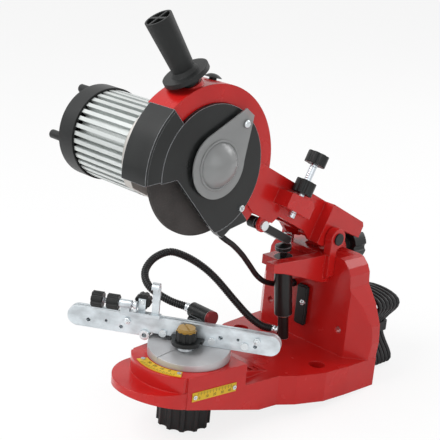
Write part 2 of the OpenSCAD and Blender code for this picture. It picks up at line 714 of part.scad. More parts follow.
module link_bar() color([0.22, 0.22, 0.23]) at_head() difference() {
    side_slab(-5, 5) {
        translate([link_front[0], link_front[1] - 4.7]) square([link_rear[0] - link_front[0], 9.4]);
        translate(link_front) circle(r = 6.5);
        translate(link_rear) circle(r = nose_r_link);
    }
    translate([0, link_front[0], link_front[1]]) xcyl(3 + fit, -10, 10);
}
module link_bolt() color(steel) at_head() translate([0, link_front[0], link_front[1]]) {
    xcyl(3, arm_x[0], arm_x[1]);
    xcyl(5.5, arm_x[1], arm_x[1] + 3.5);
    xcyl(5.5, arm_x[0] - 3.5, arm_x[0]);
}

// Return spring: one unbroken coil with straight ends
spring_r = 4.6;
spring_wire = 1.5;
spring_turns = 6;
spring_x = -13.5;
spring_y = 12;
spring_z0 = 147 + gap;
spring_h = 24;
spring_steps = 8 * spring_turns;
spring_path = [for (i = [0:spring_steps]) let (a = 360 * spring_turns * i / spring_steps)
    [spring_x + spring_r * cos(a), spring_y + spring_r * sin(a),
        spring_z0 + spring_wire / 2 + (spring_h - spring_wire) * i / spring_steps]];
module return_spring() color([0.10, 0.10, 0.11])
    tube(spring_path, [for (p = spring_path) spring_wire / 2], 6);
spring_gap = (spring_h - spring_wire) / spring_turns - spring_wire;
echo(least_gap_return_spring = spring_gap);

// ---- guard parts, in the wheel's frame

shroud_r = 90;
module shroud_outline() intersection() {
    circle(r = shroud_r, $fn = 128);
    below_seam(gap);
    polygon([[-100, 60], [-100, -57], [-77, -46.5], [-73, -44], [-41, -24], [24, -49], [48, -56.5],
        [54, -57], [60, -45], [77, -31], [80, -27], [66, -19], [100, -19], [100, 60]]);
}
module wheel_shroud() color(black) at_wheel() difference() {
    union() {
        side_slab(8, 12) difference() {
            shroud_outline();
            circle(r = lid_r - 8, $fn = 128);
        }
        side_slab(-20, -17) difference() {
            shroud_outline();
            circle(r = 24);
        }
        side_slab(-20, 16) difference() {
            intersection() {
                shroud_outline();
                polygon([[-100, 60], [-100, -57], [-70, -50], [-62, 60]]);
            }
            circle(r = shroud_r - 3, $fn = 128);
        }
        side_slab(12, 15.9) intersection() {
            shroud_outline();
            difference() {
                circle(r = shroud_r, $fn = 128);
                circle(r = lid_r + gap, $fn = 128);
            }
        }
    }
    for (a = lid_screw_angles) rotate([a, 0, 0]) translate([0, lid_screw_ring, 0]) xcyl(2 + fit, 5, 20);
}

lid_screw_ring = lid_r - 4;
lid_screw_angles = [342];
window_centre = [0, 7];
window_pivot = [11, 66];
module window_shape(d) {
    translate(window_centre) circle(r = window_r + d);
    polygon([[-30 - d, 26], [3 - d, 72 + d], [17 + d, 70 + d], [33 + d, 18]]);
}
module guard_lid() color([0.13, 0.13, 0.14]) at_wheel() difference() {
    union() {
        side_slab(12 + gap, lid_x) difference() {
            circle(r = lid_r, $fn = 128);
            below_lid_cut();
        }
        side_slab(lid_x - 1, lid_x + 3) difference() {
            translate(window_centre) circle(r = window_r - 4, $fn = 96);
            translate(window_centre) circle(r = window_r - 8, $fn = 96);
        }
    }
    xcyl(window_r - 12, 5, 30);
    for (a = lid_screw_angles) rotate([a, 0, 0]) translate([0, lid_screw_ring, 0]) xcyl(2 + fit, 5, 20);
    translate([0, window_pivot[0], window_pivot[1] - 8]) xcyl(2.5 + fit, 5, 25);
}
module below_lid_cut() polygon([[-41, -26], [24, -51], [50, -59], [60, -90], [-60, -90], [-73, -46]]);

module lid_screws() color([0.80, 0.81, 0.84]) at_wheel() {
    for (a = lid_screw_angles) rotate([a, 0, 0]) translate([lid_x, lid_screw_ring, 0])
        rotate([0, 90, 0]) screw(3.6, 2.2, 2, 6);
}

window_t = 1.5;
window_x = lid_x + 3 + gap;
module wheel_window() color([0.60, 0.62, 0.64, 0.7]) at_wheel() {
    difference() {
        union() {
            side_slab(window_x, window_x + window_t) window_shape(0);
            translate([0, window_centre[0], window_centre[1]]) intersection() {
                translate([window_x + window_t - 14, 0, 0]) sphere(r = 28, $fn = 64);
                xcyl(24, window_x + 0.2, window_x + 16);
            }
        }
        translate([0, window_centre[0], window_centre[1]]) intersection() {
            translate([window_x + window_t - 14, 0, 0]) sphere(r = 26.5, $fn = 64);
            xcyl(22.5, window_x - 1, window_x + 16);
        }
    }
    translate([0, window_pivot[0], window_pivot[1] - 8]) {
        xcyl(2.5, lid_x - 3, window_x + 0.5);
        xcyl(4.5, window_x + 0.5, window_x + window_t + 2);
    }
}

// ---- wheel, spindle and motor, turning about the wheel's axis

flange_r = 21;
module grinding_wheel() color([0.30, 0.24, 0.22]) at_wheel() difference() {
    xcyl(wheel_r, -wheel_t / 2, wheel_t / 2, $fn = 128);
    xcyl(wheel_bore_d / 2 + fit, -wheel_t, wheel_t);
}
module wheel_flanges() color(steel) at_wheel() difference() {
    union() {
        xcyl(flange_r, -wheel_t / 2 - 3, -wheel_t / 2);
        xcyl(flange_r, wheel_t / 2, wheel_t / 2 + 2.5);
        xcyl(wheel_bore_d / 2, -wheel_t / 2 - 2, wheel_t / 2 - 0.1);
    }
    xcyl(shaft_r + fit, -20, 20);
}
module spindle_nut() color(steel) at_wheel() difference() {
    translate([wheel_t / 2 + 2.5, 0, 0]) rotate([0, 90, 0]) cylinder(r = 11, h = 4.5, $fn = 6);
    xcyl(shaft_r + fit, -20, 20);
}
shaft_x0 = -168;
shaft_x1 = 9.2;
module motor_shaft() color([0.72, 0.73, 0.76]) at_wheel() xcyl(shaft_r, shaft_x0, shaft_x1);

fin_x1 = -68;
fin_x0 = fin_x1 - fin_len;
bore_r = housing_r - 4;
rotor_r = 24;
fin_t = 4.5;
module rotor() color([0.55, 0.56, 0.58]) at_wheel() difference() {
    union() {
        xcyl(rotor_r, fin_x0 + 22, fin_x1 - 18);
        xcyl(rotor_r - 5, fin_x0 + 16, fin_x1 - 12);
    }
    xcyl(shaft_r + fit, fin_x0, fin_x1);
}
module stator() color([0.48, 0.34, 0.20]) at_wheel() difference() {
    union() {
        xcyl(bore_r - fit, fin_x0 + 24, fin_x1 - 20);
        xcyl(bore_r - 4, fin_x0 + 14, fin_x1 - 10);
    }
    xcyl(rotor_r + 0.6, fin_x0, fin_x1);
}
module motor_housing() color([0.80, 0.81, 0.82]) at_wheel() difference() {
    union() {
        xcyl(housing_r, fin_x0, fin_x1);
        for (i = [0:fin_count - 1]) rotate([i * 360 / fin_count, 0, 0])
            translate([fin_x0 + 0.5, housing_r - 1.5, -fin_t / 2]) cube([fin_len - 1, fin_r - housing_r + 1.5, fin_t]);
    }
    // the rear wall holds the rear bearing
    xcyl(bore_r, fin_x0 + 2 * bearing_half, fin_x1 + 1);
    xcyl(bearing_r + fit, fin_x0 - 1, fin_x1);
}

bearing_r = 16;
bearing_x = [-147, -59];
bearing_half = 5;
module end_shield() color([0.78, 0.76, 0.73]) at_wheel() difference() {
    union() {
        translate([fin_x1, 0, 0]) rotate([0, 90, 0]) cylinder(r1 = 48, r2 = 59, h = 10, $fn = 96);
        xcyl(59, -58, -46, $fn = 96);
        xcyl(bore_r - fit, fin_x1 - 4, fin_x1 + 1);
    }
    // flat below, clear of the chain stop
    span([-80, -80, -80], [-40, 80, -49]);
    xcyl(bearing_r + fit, bearing_x[1] - bearing_half - 2, bearing_x[1] + bearing_half);
    xcyl(shaft_r + 2, fin_x1 - 10, -40);
    xcyl(30, fin_x1 - 5, fin_x1 + 2);
}
module bearings() color([0.62, 0.64, 0.68]) at_wheel() difference() {
    for (x = bearing_x) xcyl(bearing_r, x - bearing_half, x + bearing_half);
    xcyl(shaft_r + fit, fin_x0 - 20, 0);
}
cowl_x0 = -190;
peg_x0 = -200;
peg_ring = 43;
module fan_cowl() color(black) at_wheel() difference() {
    union() {
        xcyl(52, cowl_x0 + 14, fin_x0 - gap, $fn = 96);
        intersection() {
            translate([cowl_x0 + 68, 0, 0]) sphere(r = 68 + 4, $fn = 96);
            xcyl(52, cowl_x0, cowl_x0 + 20, $fn = 96);
        }
        // rubber pegs on the end, pointing away from the wheel
        for (a = [125, 216]) rotate([a, 0, 0]) translate([0, peg_ring, 0]) xcyl(5, peg_x0, cowl_x0 + 18);
    }
    xcyl(48, cowl_x0 + 17, fin_x0 + 1, $fn = 96);
    // air slots in the end
    for (i = [0:7]) rotate([i * 45, 0, 0]) span([cowl_x0 - 10, 12, -2.5], [cowl_x0 + 18, 36, 2.5]);
}
module cooling_fan() color([0.25, 0.25, 0.27]) at_wheel() difference() {
    union() {
        xcyl(12, shaft_x0 + 1, shaft_x0 + 12);
        xcyl(36, shaft_x0 + 1, shaft_x0 + 2.5);
        for (i = [0:8]) rotate([i * 40, 0, 0]) span([shaft_x0 + 1, 10, -1], [shaft_x0 + 10, 44, 1]);
    }
    xcyl(shaft_r + fit, shaft_x0 - 10, 0);
}

// ---- handle and switch

handle_yz = [-69, 72.5];
handle_x = -6;
handle_tilt = 58;
stub_r = 8;
stub_len = 7;
// How far the handle sits down its axis
handle_sink = 8.5;
module handle_place() translate([handle_x, handle_yz[0], handle_yz[1]])
    rotate([handle_tilt, 0, 0]) rotate([0, -10, 0]) translate([0, 0, -handle_sink]) children();
module at_handle() at_wheel() handle_place() children();
module handle() color(black) at_handle() difference() {
    union() {
        translate([0, 0, 1]) cylinder(r1 = 12, r2 = 18, h = 6);
        translate([0, 0, 6]) cylinder(r = 24.5, h = 5, $fn = 96);
        translate([0, 0, 10]) cylinder(r1 = 15.5, r2 = grip_d / 2 - 3, h = 5);
        translate([0, 0, 12]) cylinder(r1 = grip_d / 2 - 3.2, r2 = grip_d / 2 - 0.6, h = grip_len, $fn = 64);
        translate([0, 0, -stub_len]) cylinder(r = stub_r, h = stub_len + 2);
    }
    difference() {
        translate([0, 0, 20]) cylinder(r1 = grip_d / 2 - 6, r2 = grip_d / 2 - 2.6, h = grip_len - 7);
        span([-1.5, -20, 12], [1.5, 20, 200]);
        span([-20, -1.5, 12], [20, 1.5, 200]);
    }
}

switch_angle = 107;
switch_x = -13;
button_travel = 2;
button_r = 10;
button_stem_r = 4;
module at_switch() at_wheel() rotate([switch_angle, 0, 0]) translate([switch_x, guard_r, 0])
    rotate([-90, 0, 0]) children();
module switch_button() color([0.14, 0.14, 0.15]) at_switch() {
    translate([0, 0, gap + button_travel]) intersection() {
        translate([0, 0, 4 - button_r * 1.3]) sphere(r = button_r * 1.3, $fn = 48);
        cylinder(r = button_r, h = 12);
    }
    translate([0, 0, -6]) cylinder(r = button_stem_r, h = 10);
}

// ---- hoses and cords: points are in the resting pose

hose_points = [[-26.4, -119.3, 97.5], [-36, -120, 97.5], [-56, -130, 101], [-80, -137, 110], [-96, -131, 121],
    [-100, -116, 133], [-98, -94, 138], [-90, -76, 132], [-78, -60, 121], [-64, -48, 107],
    [-45, -33, 83], [-32, -21, 66], [-22, -9, 55], [-15, 3, 50.5], [-7.15, 7.2, 50]];
hose_path = smooth_path(hose_points, 4);
module hydraulic_hose() color([0.10, 0.10, 0.11]) tube(hose_path, [for (p = hose_path) hose_d / 2], 10);

lead_hole_x = -20;
lead_hole_z = 100;
lead_points = [[-18, -71, 208.4], [-18, -80, 200], [-16, -94, 192], [-12, -101, 186], [-9, -97, 181],
    [-8, -84, 172], [-8, -68, 158], [-10, -52, 142], [-12, -36, 126], [-15, -18, 114], [-18, 4, 106],
    [-20, 24, 101], [-20, 39, 100], [-20, 44, 100]];
lead_r = 3.2;
lead_path = smooth_path(lead_points, 3);
module motor_lead() color([0.10, 0.10, 0.11]) tube(lead_path, [for (p = lead_path) lead_r], 8);

gland_r = 6;
gland_x = -16;
gland_z = 18;
module cord_gland() color(black) translate([gland_x, 0, gland_z]) difference() {
    union() {
        ycyl(gland_r, column_back - cast_wall - 2, column_back + 1);
        ycyl(gland_r + 2.5, column_back + 0.1, column_back + 6);
    }
    ycyl(cord_d / 2 + 2 * fit, column_back - 12, column_back + 10);
}

// Hank of cord, tied at the waist and standing on the bench behind the column
hank_loops = 6;
hank_steps = 24;
hank_pitch = 6.8;
hank_x = 36;
hank_y0 = 97;
hank_half_h = 45;
hank_waist = 10;
hank_lobe = 60;
function hank_point(i) = let (a = 180 + 360 * i / hank_steps)
    [hank_x + cos(a) * (hank_waist + hank_lobe * pow(sin(a), 2)),
        hank_y0 + hank_pitch * i / hank_steps, hank_half_h + cord_d / 2 + 0.1 + hank_half_h * sin(a)];
hank_path = [for (i = [0:hank_loops * hank_steps]) hank_point(i)];
hank_gap = min([for (i = [0:(hank_loops - 1) * hank_steps - 12]) for (k = [hank_steps - 8:hank_steps + 8])
    norm(hank_path[i + k] - hank_path[i])]) - cord_d;
echo(least_gap_cord_hank = hank_gap);
module cord_hank() color([0.10, 0.10, 0.11]) tube(hank_path, [for (p = hank_path) cord_d / 2], 6);

// Free stretches: from the gland to the hank, and from the hank to the plug
hank_start = hank_path[0];
hank_end = hank_path[len(hank_path) - 1];
join_gap = 0.05;
hank_in = unit(hank_path[1] - hank_start);
hank_out = unit(hank_end - hank_path[len(hank_path) - 2]);
cord_out_points = [[gland_x, column_back - 3, gland_z], [gland_x, column_back + 5, gland_z],
    [gland_x, 92, 18.2], [gland_x, 100, 22], [-16, 105, 32], [-15.5, 106, 46], [-14, 104.5, 60],
    [-10, 101, 72], [-2, 97, 82], [9, 94.5, 86], [20, 93.5, 82], [26.5, 94.5, 71],
    hank_start - 8 * hank_in, hank_start - 4 * hank_in, hank_start - join_gap * hank_in];
cord_end_points = [hank_end + join_gap * hank_out, hank_end + 4 * hank_out, hank_end + 8 * hank_out,
    [20, 143, 28], [16, 147, 16], [8, 149, 10], [0, 149, 8.4], [-6, 149, 8.3], [-12, 149, 8.3]];
module power_cord() color([0.10, 0.10, 0.11]) {
    for (q = [smooth_path(cord_out_points, 3), smooth_path(cord_end_points, 3)])
        tube(q, [for (p = q) cord_d / 2], 8);
}

module plug() color(black) translate([-12.1, 149, 8.3]) rotate([0, -90, 0]) {
    cylinder(r = 6, h = 10);
    translate([-8, -11, 9.9]) cube([16, 22, 22]);
    for (s = [-1, 1]) translate([0, s * 6.5, 32]) cylinder(r = 2, h = 16);
}

base_casting();
angle_scales();
scale_screws();
lock_knob();
pivot_stud();
turntable();
jaw_stand();
fixed_jaw();
moving_jaw();
jaw_screws();
roll_pin();
tension_knob();
tension_dial();
tension_plate();
tension_washer();
slave_cylinder();
slave_end_cap();
jaw_piston();
stop_screw();
stop_end_knob();
stop_lock_knob();
stop_arm();
stop_arm_knob();
chain_pawl();
hydraulic_hose();
head_bracket();
tilt_stud();
tilt_knob();
hinge_pin();
master_cylinder();
cylinder_ring();
plunger();
link_bar();
link_bolt();
head_arm();
return_spring();
depth_screw();
depth_lock_knob();
wheel_shroud();
guard_lid();
lid_screws();
wheel_window();
grinding_wheel();
wheel_flanges();
spindle_nut();
motor_shaft();
rotor();
stator();
motor_housing();
end_shield();
bearings();
cooling_fan();
fan_cowl();
handle();
switch_button();
motor_lead();
cord_gland();
power_cord();
cord_hank();
plug();
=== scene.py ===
import math

import bmesh
import bpy
from mathutils import Matrix, Vector


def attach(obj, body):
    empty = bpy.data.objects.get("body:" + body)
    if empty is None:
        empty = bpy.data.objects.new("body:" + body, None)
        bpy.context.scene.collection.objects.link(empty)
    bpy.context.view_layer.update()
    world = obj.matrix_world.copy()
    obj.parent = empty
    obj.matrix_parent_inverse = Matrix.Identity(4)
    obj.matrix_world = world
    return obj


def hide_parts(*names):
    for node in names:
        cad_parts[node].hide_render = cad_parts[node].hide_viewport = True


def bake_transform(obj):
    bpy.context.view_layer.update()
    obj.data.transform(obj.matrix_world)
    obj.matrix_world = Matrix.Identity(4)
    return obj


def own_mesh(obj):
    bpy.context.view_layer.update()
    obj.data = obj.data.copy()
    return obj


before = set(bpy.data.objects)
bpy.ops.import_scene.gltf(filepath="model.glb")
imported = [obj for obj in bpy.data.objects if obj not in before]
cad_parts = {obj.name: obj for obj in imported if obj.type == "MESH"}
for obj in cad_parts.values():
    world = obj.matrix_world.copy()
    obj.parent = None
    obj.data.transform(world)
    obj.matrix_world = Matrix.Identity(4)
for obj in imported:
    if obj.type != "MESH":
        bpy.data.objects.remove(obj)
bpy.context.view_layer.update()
mm = 0.001
print("frame loaded")

# places of the moving groups, as the machine stands in the photograph
pose = dict(hinge=(0, 40.5, 171.7), headRaise=27.5, armReach=212.9, viseAxis=(0, -145, 60), viseTurn=35)
headPlace = Matrix.Translation(pose["hinge"]) @ Matrix.Rotation(math.radians(-pose["headRaise"]), 4, "X")
wheelPlace = headPlace @ Matrix.Translation((0, -pose["armReach"], 0))
visePlace = Matrix.Translation(pose["viseAxis"]) @ Matrix.Rotation(math.radians(pose["viseTurn"]), 4, "Z")


def metres(points, place=None):
    return [((place @ Vector(p)) if place else Vector(p)) * mm for p in points]


# camera, floor and light
cameraLook = dict(position=(0.7701, -0.8989, 0.5494), right=(0.6905, 0.7178, 0.0886), up=(-0.2734, 0.1456, 0.9508),
                  back=(0.6696, -0.6808, 0.2968), lens=88.98)
cameraData = bpy.data.cameras.new("camera")
cameraData.lens = cameraLook["lens"]
cameraData.sensor_width = 36
cameraData.clip_start = 0.05
camera = bpy.data.objects.new("camera", cameraData)
bpy.context.collection.objects.link(camera)
turned = Matrix((cameraLook["right"], cameraLook["up"], cameraLook["back"])).transposed()
camera.matrix_world = Matrix.Translation(cameraLook["position"]) @ turned.to_quaternion().to_matrix().to_4x4()
bpy.context.scene.camera = camera
bpy.context.scene.view_settings.view_transform = "Standard"


def areaLamp(name, place, aim, size, energy):
    lampData = bpy.data.lights.new(name, "AREA")
    lampData.size = size
    lampData.energy = energy
    lamp = bpy.data.objects.new(name, lampData)
    lamp.location = place
    lamp.rotation_euler = (Vector(aim) - Vector(place)).to_track_quat("-Z", "Y").to_euler()
    bpy.context.collection.objects.link(lamp)


studio = dict(world=0.5, floorColour=0.96, floorGlow=0.82, floorRough=0.9, floorHalf=6,
              knobRearEdge=(-115.4, -18.4), baseRearEdge=(75, -0.1),
              lamps=dict(keyLamp=((-0.5, -1.1, 1.4), (0, -0.05, 0.15), 1.0, 20),  # place, aim, size, energy
                         fillLamp=((1.5, -0.6, 0.8), (0, 0, 0.15), 1.2, 5),
                         rimLamp=((0.3, 1.3, 1.2), (0, 0, 0.2), 0.9, 8)))
for name, lampLook in studio["lamps"].items():
    areaLamp(name, *lampLook)
world = bpy.data.worlds.new("studioWorld")
bpy.context.scene.world = world
world.use_nodes = True
worldNodes, worldLinks = world.node_tree.nodes, world.node_tree.links
ambient = worldNodes["Background"]
ambient.inputs["Color"].default_value = (1, 1, 1, 1)
ambient.inputs["Strength"].default_value = studio["world"]
backdrop = worldNodes.new("ShaderNodeBackground")
backdrop.inputs["Color"].default_value = (1, 1, 1, 1)
rays = worldNodes.new("ShaderNodeLightPath")
seen = worldNodes.new("ShaderNodeMixShader")
clearSight = rays.outputs["Is Camera Ray"]
for ray in ("Is Glossy Ray", "Is Transmission Ray"):
    either = worldNodes.new("ShaderNodeMath")
    either.operation = "MAXIMUM"
    worldLinks.new(clearSight, either.inputs[0])
    worldLinks.new(rays.outputs[ray], either.inputs[1])
    clearSight = either.outputs[0]
worldLinks.new(clearSight, seen.inputs[0])
worldLinks.new(ambient.outputs[0], seen.inputs[1])
worldLinks.new(backdrop.outputs[0], seen.inputs[2])
worldLinks.new(seen.outputs[0], worldNodes["World Output"].inputs["Surface"])

# the floor meets the lock knob and the base's rear edge, as the machine stands when it isn't bolted down
(knobY, knobZ), (rearY, rearZ) = studio["knobRearEdge"], studio["baseRearEdge"]
slope = (rearZ - knobZ) / (rearY - knobY)
floorMesh = bpy.data.meshes.new("floor")
floorHalf = studio["floorHalf"]
floorMesh.from_pydata([(x * floorHalf, y * floorHalf, (rearZ + slope * (y * floorHalf * 1000 - rearY)) * mm)
                       for x, y in ((-1, -1), (1, -1), (1, 1), (-1, 1))], [], [(0, 1, 2, 3)])
floor = bpy.data.objects.new("floor", floorMesh)
bpy.context.collection.objects.link(floor)
floorPaint = bpy.data.materials.new("floorPaint")
floorPaint.use_nodes = True
floorNodes, floorLinks = floorPaint.node_tree.nodes, floorPaint.node_tree.links
floorShader = floorNodes["Principled BSDF"]
floorShader.inputs["Base Color"].default_value = (*[studio["floorColour"]] * 3, 1)
floorShader.inputs["Roughness"].default_value = studio["floorRough"]
floorRays, glow = floorNodes.new("ShaderNodeLightPath"), floorNodes.new("ShaderNodeEmission")
blendIn = floorNodes.new("ShaderNodeMixShader")
lit = floorNodes.new("ShaderNodeMath")
lit.operation = "MULTIPLY"
lit.inputs[1].default_value = studio["floorGlow"]
floorLinks.new(floorRays.outputs["Is Camera Ray"], lit.inputs[0])
floorLinks.new(lit.outputs[0], blendIn.inputs[0])
floorLinks.new(floorShader.outputs[0], blendIn.inputs[1])
floorLinks.new(glow.outputs[0], blendIn.inputs[2])
floorLinks.new(blendIn.outputs[0], floorNodes["Material Output"].inputs["Surface"])
floorMesh.materials.append(floorPaint)
print("camera, floor and light made")


# finishes
def finish(name, look):
    material = bpy.data.materials.new(name)
    material.use_nodes = True
    nodes, links = material.node_tree.nodes, material.node_tree.links
    shader = nodes["Principled BSDF"]
    colour = look["colour"]
    shader.inputs["Metallic"].default_value = look.get("metal", 0)
    shader.inputs["Coat Weight"].default_value = look.get("coat", 0)
    shader.inputs["Coat Roughness"].default_value = look.get("coatRough", 0.08)
    shader.inputs["Transmission Weight"].default_value = look.get("clear", 0)
    shader.inputs["IOR"].default_value = look.get("ior", 1.5)
    shader.inputs["Specular IOR Level"].default_value = look.get("gloss", 0.3)
    place = nodes.new("ShaderNodeTexCoord")
    turn = nodes.new("ShaderNodeMapping")
    turn.inputs["Scale"].default_value = look.get("stretch", (1, 1, 1))
    turn.inputs["Rotation"].default_value = [math.radians(a) for a in look.get("turn", (0, 0, 0))]
    links.new(place.outputs["Object"], turn.inputs["Vector"])

    cloud = nodes.new("ShaderNodeTexNoise")
    cloud.inputs["Scale"].default_value = look.get("patchScale", 25)
    cloud.inputs["Detail"].default_value = 4
    links.new(turn.outputs[0], cloud.inputs["Vector"])
    tone = nodes.new("ShaderNodeValToRGB")
    vary = look.get("vary", 0.08)
    tone.color_ramp.elements[0].position, tone.color_ramp.elements[1].position = 0.35, 0.65
    tone.color_ramp.elements[0].color = (*[c * (1 - vary) for c in colour], 1)
    tone.color_ramp.elements[1].color = (*[min(1, c * (1 + vary)) for c in colour], 1)
    links.new(cloud.outputs["Fac"], tone.inputs["Fac"])
    painted = tone.outputs["Color"]

    sheen = nodes.new("ShaderNodeMapRange")
    rough, roughVary = look.get("rough", 0.4), look.get("roughVary", 0.06)
    sheen.inputs["To Min"].default_value = rough - roughVary
    sheen.inputs["To Max"].default_value = rough + roughVary
    links.new(cloud.outputs["Fac"], sheen.inputs["Value"])
    links.new(sheen.outputs[0], shader.inputs["Roughness"])

    soft = nodes.new("ShaderNodeBevel")  # rounds the corners of castings and mouldings
    soft.samples = 6
    soft.inputs["Radius"].default_value = look.get("corner", 0.0006)
    grain = nodes.new("ShaderNodeTexNoise")
    grain.inputs["Scale"].default_value = look.get("grainScale", 900)
    grain.inputs["Detail"].default_value = 3
    links.new(turn.outputs[0], grain.inputs["Vector"])
    height = grain.outputs["Fac"]
    if "thread" in look:  # turns of a thread along the turned Z axis
        thread = nodes.new("ShaderNodeTexWave")
        thread.wave_type, thread.bands_direction, thread.wave_profile = "BANDS", "Z", "SIN"
        thread.inputs["Scale"].default_value = look["thread"]
        links.new(turn.outputs[0], thread.inputs["Vector"])
        height = thread.outputs["Fac"]
    relief = nodes.new("ShaderNodeBump")
    relief.inputs["Strength"].default_value = look.get("bump", 0.15)
    relief.inputs["Distance"].default_value = look.get("bumpDepth", 0.0003)
    links.new(height, relief.inputs["Height"])
    links.new(soft.outputs[0], relief.inputs["Normal"])
    links.new(relief.outputs[0], shader.inputs["Normal"])

    if "edgeHighlight" in look:  # painted highlight: a lighter colour mixed in along rounded edges, where the bevel normal leaves the true normal, in noise patches unless patchy is off
        highlightLook = look["edgeHighlight"]
        wide = nodes.new("ShaderNodeBevel")
        wide.samples = 6
        wide.inputs["Radius"].default_value = highlightLook["width"]
        flat = nodes.new("ShaderNodeNewGeometry")
        agree = nodes.new("ShaderNodeVectorMath")
        agree.operation = "DOT_PRODUCT"
        links.new(wide.outputs[0], agree.inputs[0])
        links.new(flat.outputs["True Normal"], agree.inputs[1])
        edge = nodes.new("ShaderNodeMapRange")
        edge.inputs["From Min"].default_value = 0.985
        edge.inputs["From Max"].default_value = 0.85
        edge.inputs["To Max"].default_value = highlightLook["amount"]
        links.new(agree.outputs["Value"], edge.inputs["Value"])
        patchy = nodes.new("ShaderNodeMath")
        patchy.operation = "MULTIPLY"
        links.new(edge.outputs[0], patchy.inputs[0])
        if highlightLook.get("patchy", True):
            highlightPatches = nodes.new("ShaderNodeTexNoise")
            highlightPatches.inputs["Scale"].default_value = 120
            patchCut = nodes.new("ShaderNodeMapRange")
            patchCut.inputs["From Min"].default_value = 0.45
            patchCut.inputs["From Max"].default_value = 0.62
            links.new(place.outputs["Object"], highlightPatches.inputs["Vector"])
            links.new(highlightPatches.outputs["Fac"], patchCut.inputs["Value"])
            links.new(patchCut.outputs[0], patchy.inputs[1])
        else:
            patchy.inputs[1].default_value = 1
        highlighted = nodes.new("ShaderNodeMix")
        highlighted.data_type = "RGBA"
        highlighted.inputs["B"].default_value = (*highlightLook["colour"], 1)
        links.new(patchy.outputs[0], highlighted.inputs["Factor"])
        links.new(painted, highlighted.inputs["A"])
        painted = highlighted.outputs["Result"]
    if "specks" in look:  # grit of another colour
        speck = nodes.new("ShaderNodeTexVoronoi")
        speck.inputs["Scale"].default_value = look["specks"]["scale"]
        links.new(place.outputs["Object"], speck.inputs["Vector"])
        pick = nodes.new("ShaderNodeMapRange")
        pick.inputs["From Min"].default_value = 0.22
        pick.inputs["From Max"].default_value = 0.12
        links.new(speck.outputs["Distance"], pick.inputs["Value"])
        gritty = nodes.new("ShaderNodeMix")
        gritty.data_type = "RGBA"
        gritty.inputs["B"].default_value = (*look["specks"]["colour"], 1)
        links.new(pick.outputs[0], gritty.inputs["Factor"])
        links.new(painted, gritty.inputs["A"])
        painted = gritty.outputs["Result"]
    links.new(painted, shader.inputs["Base Color"])
    return material


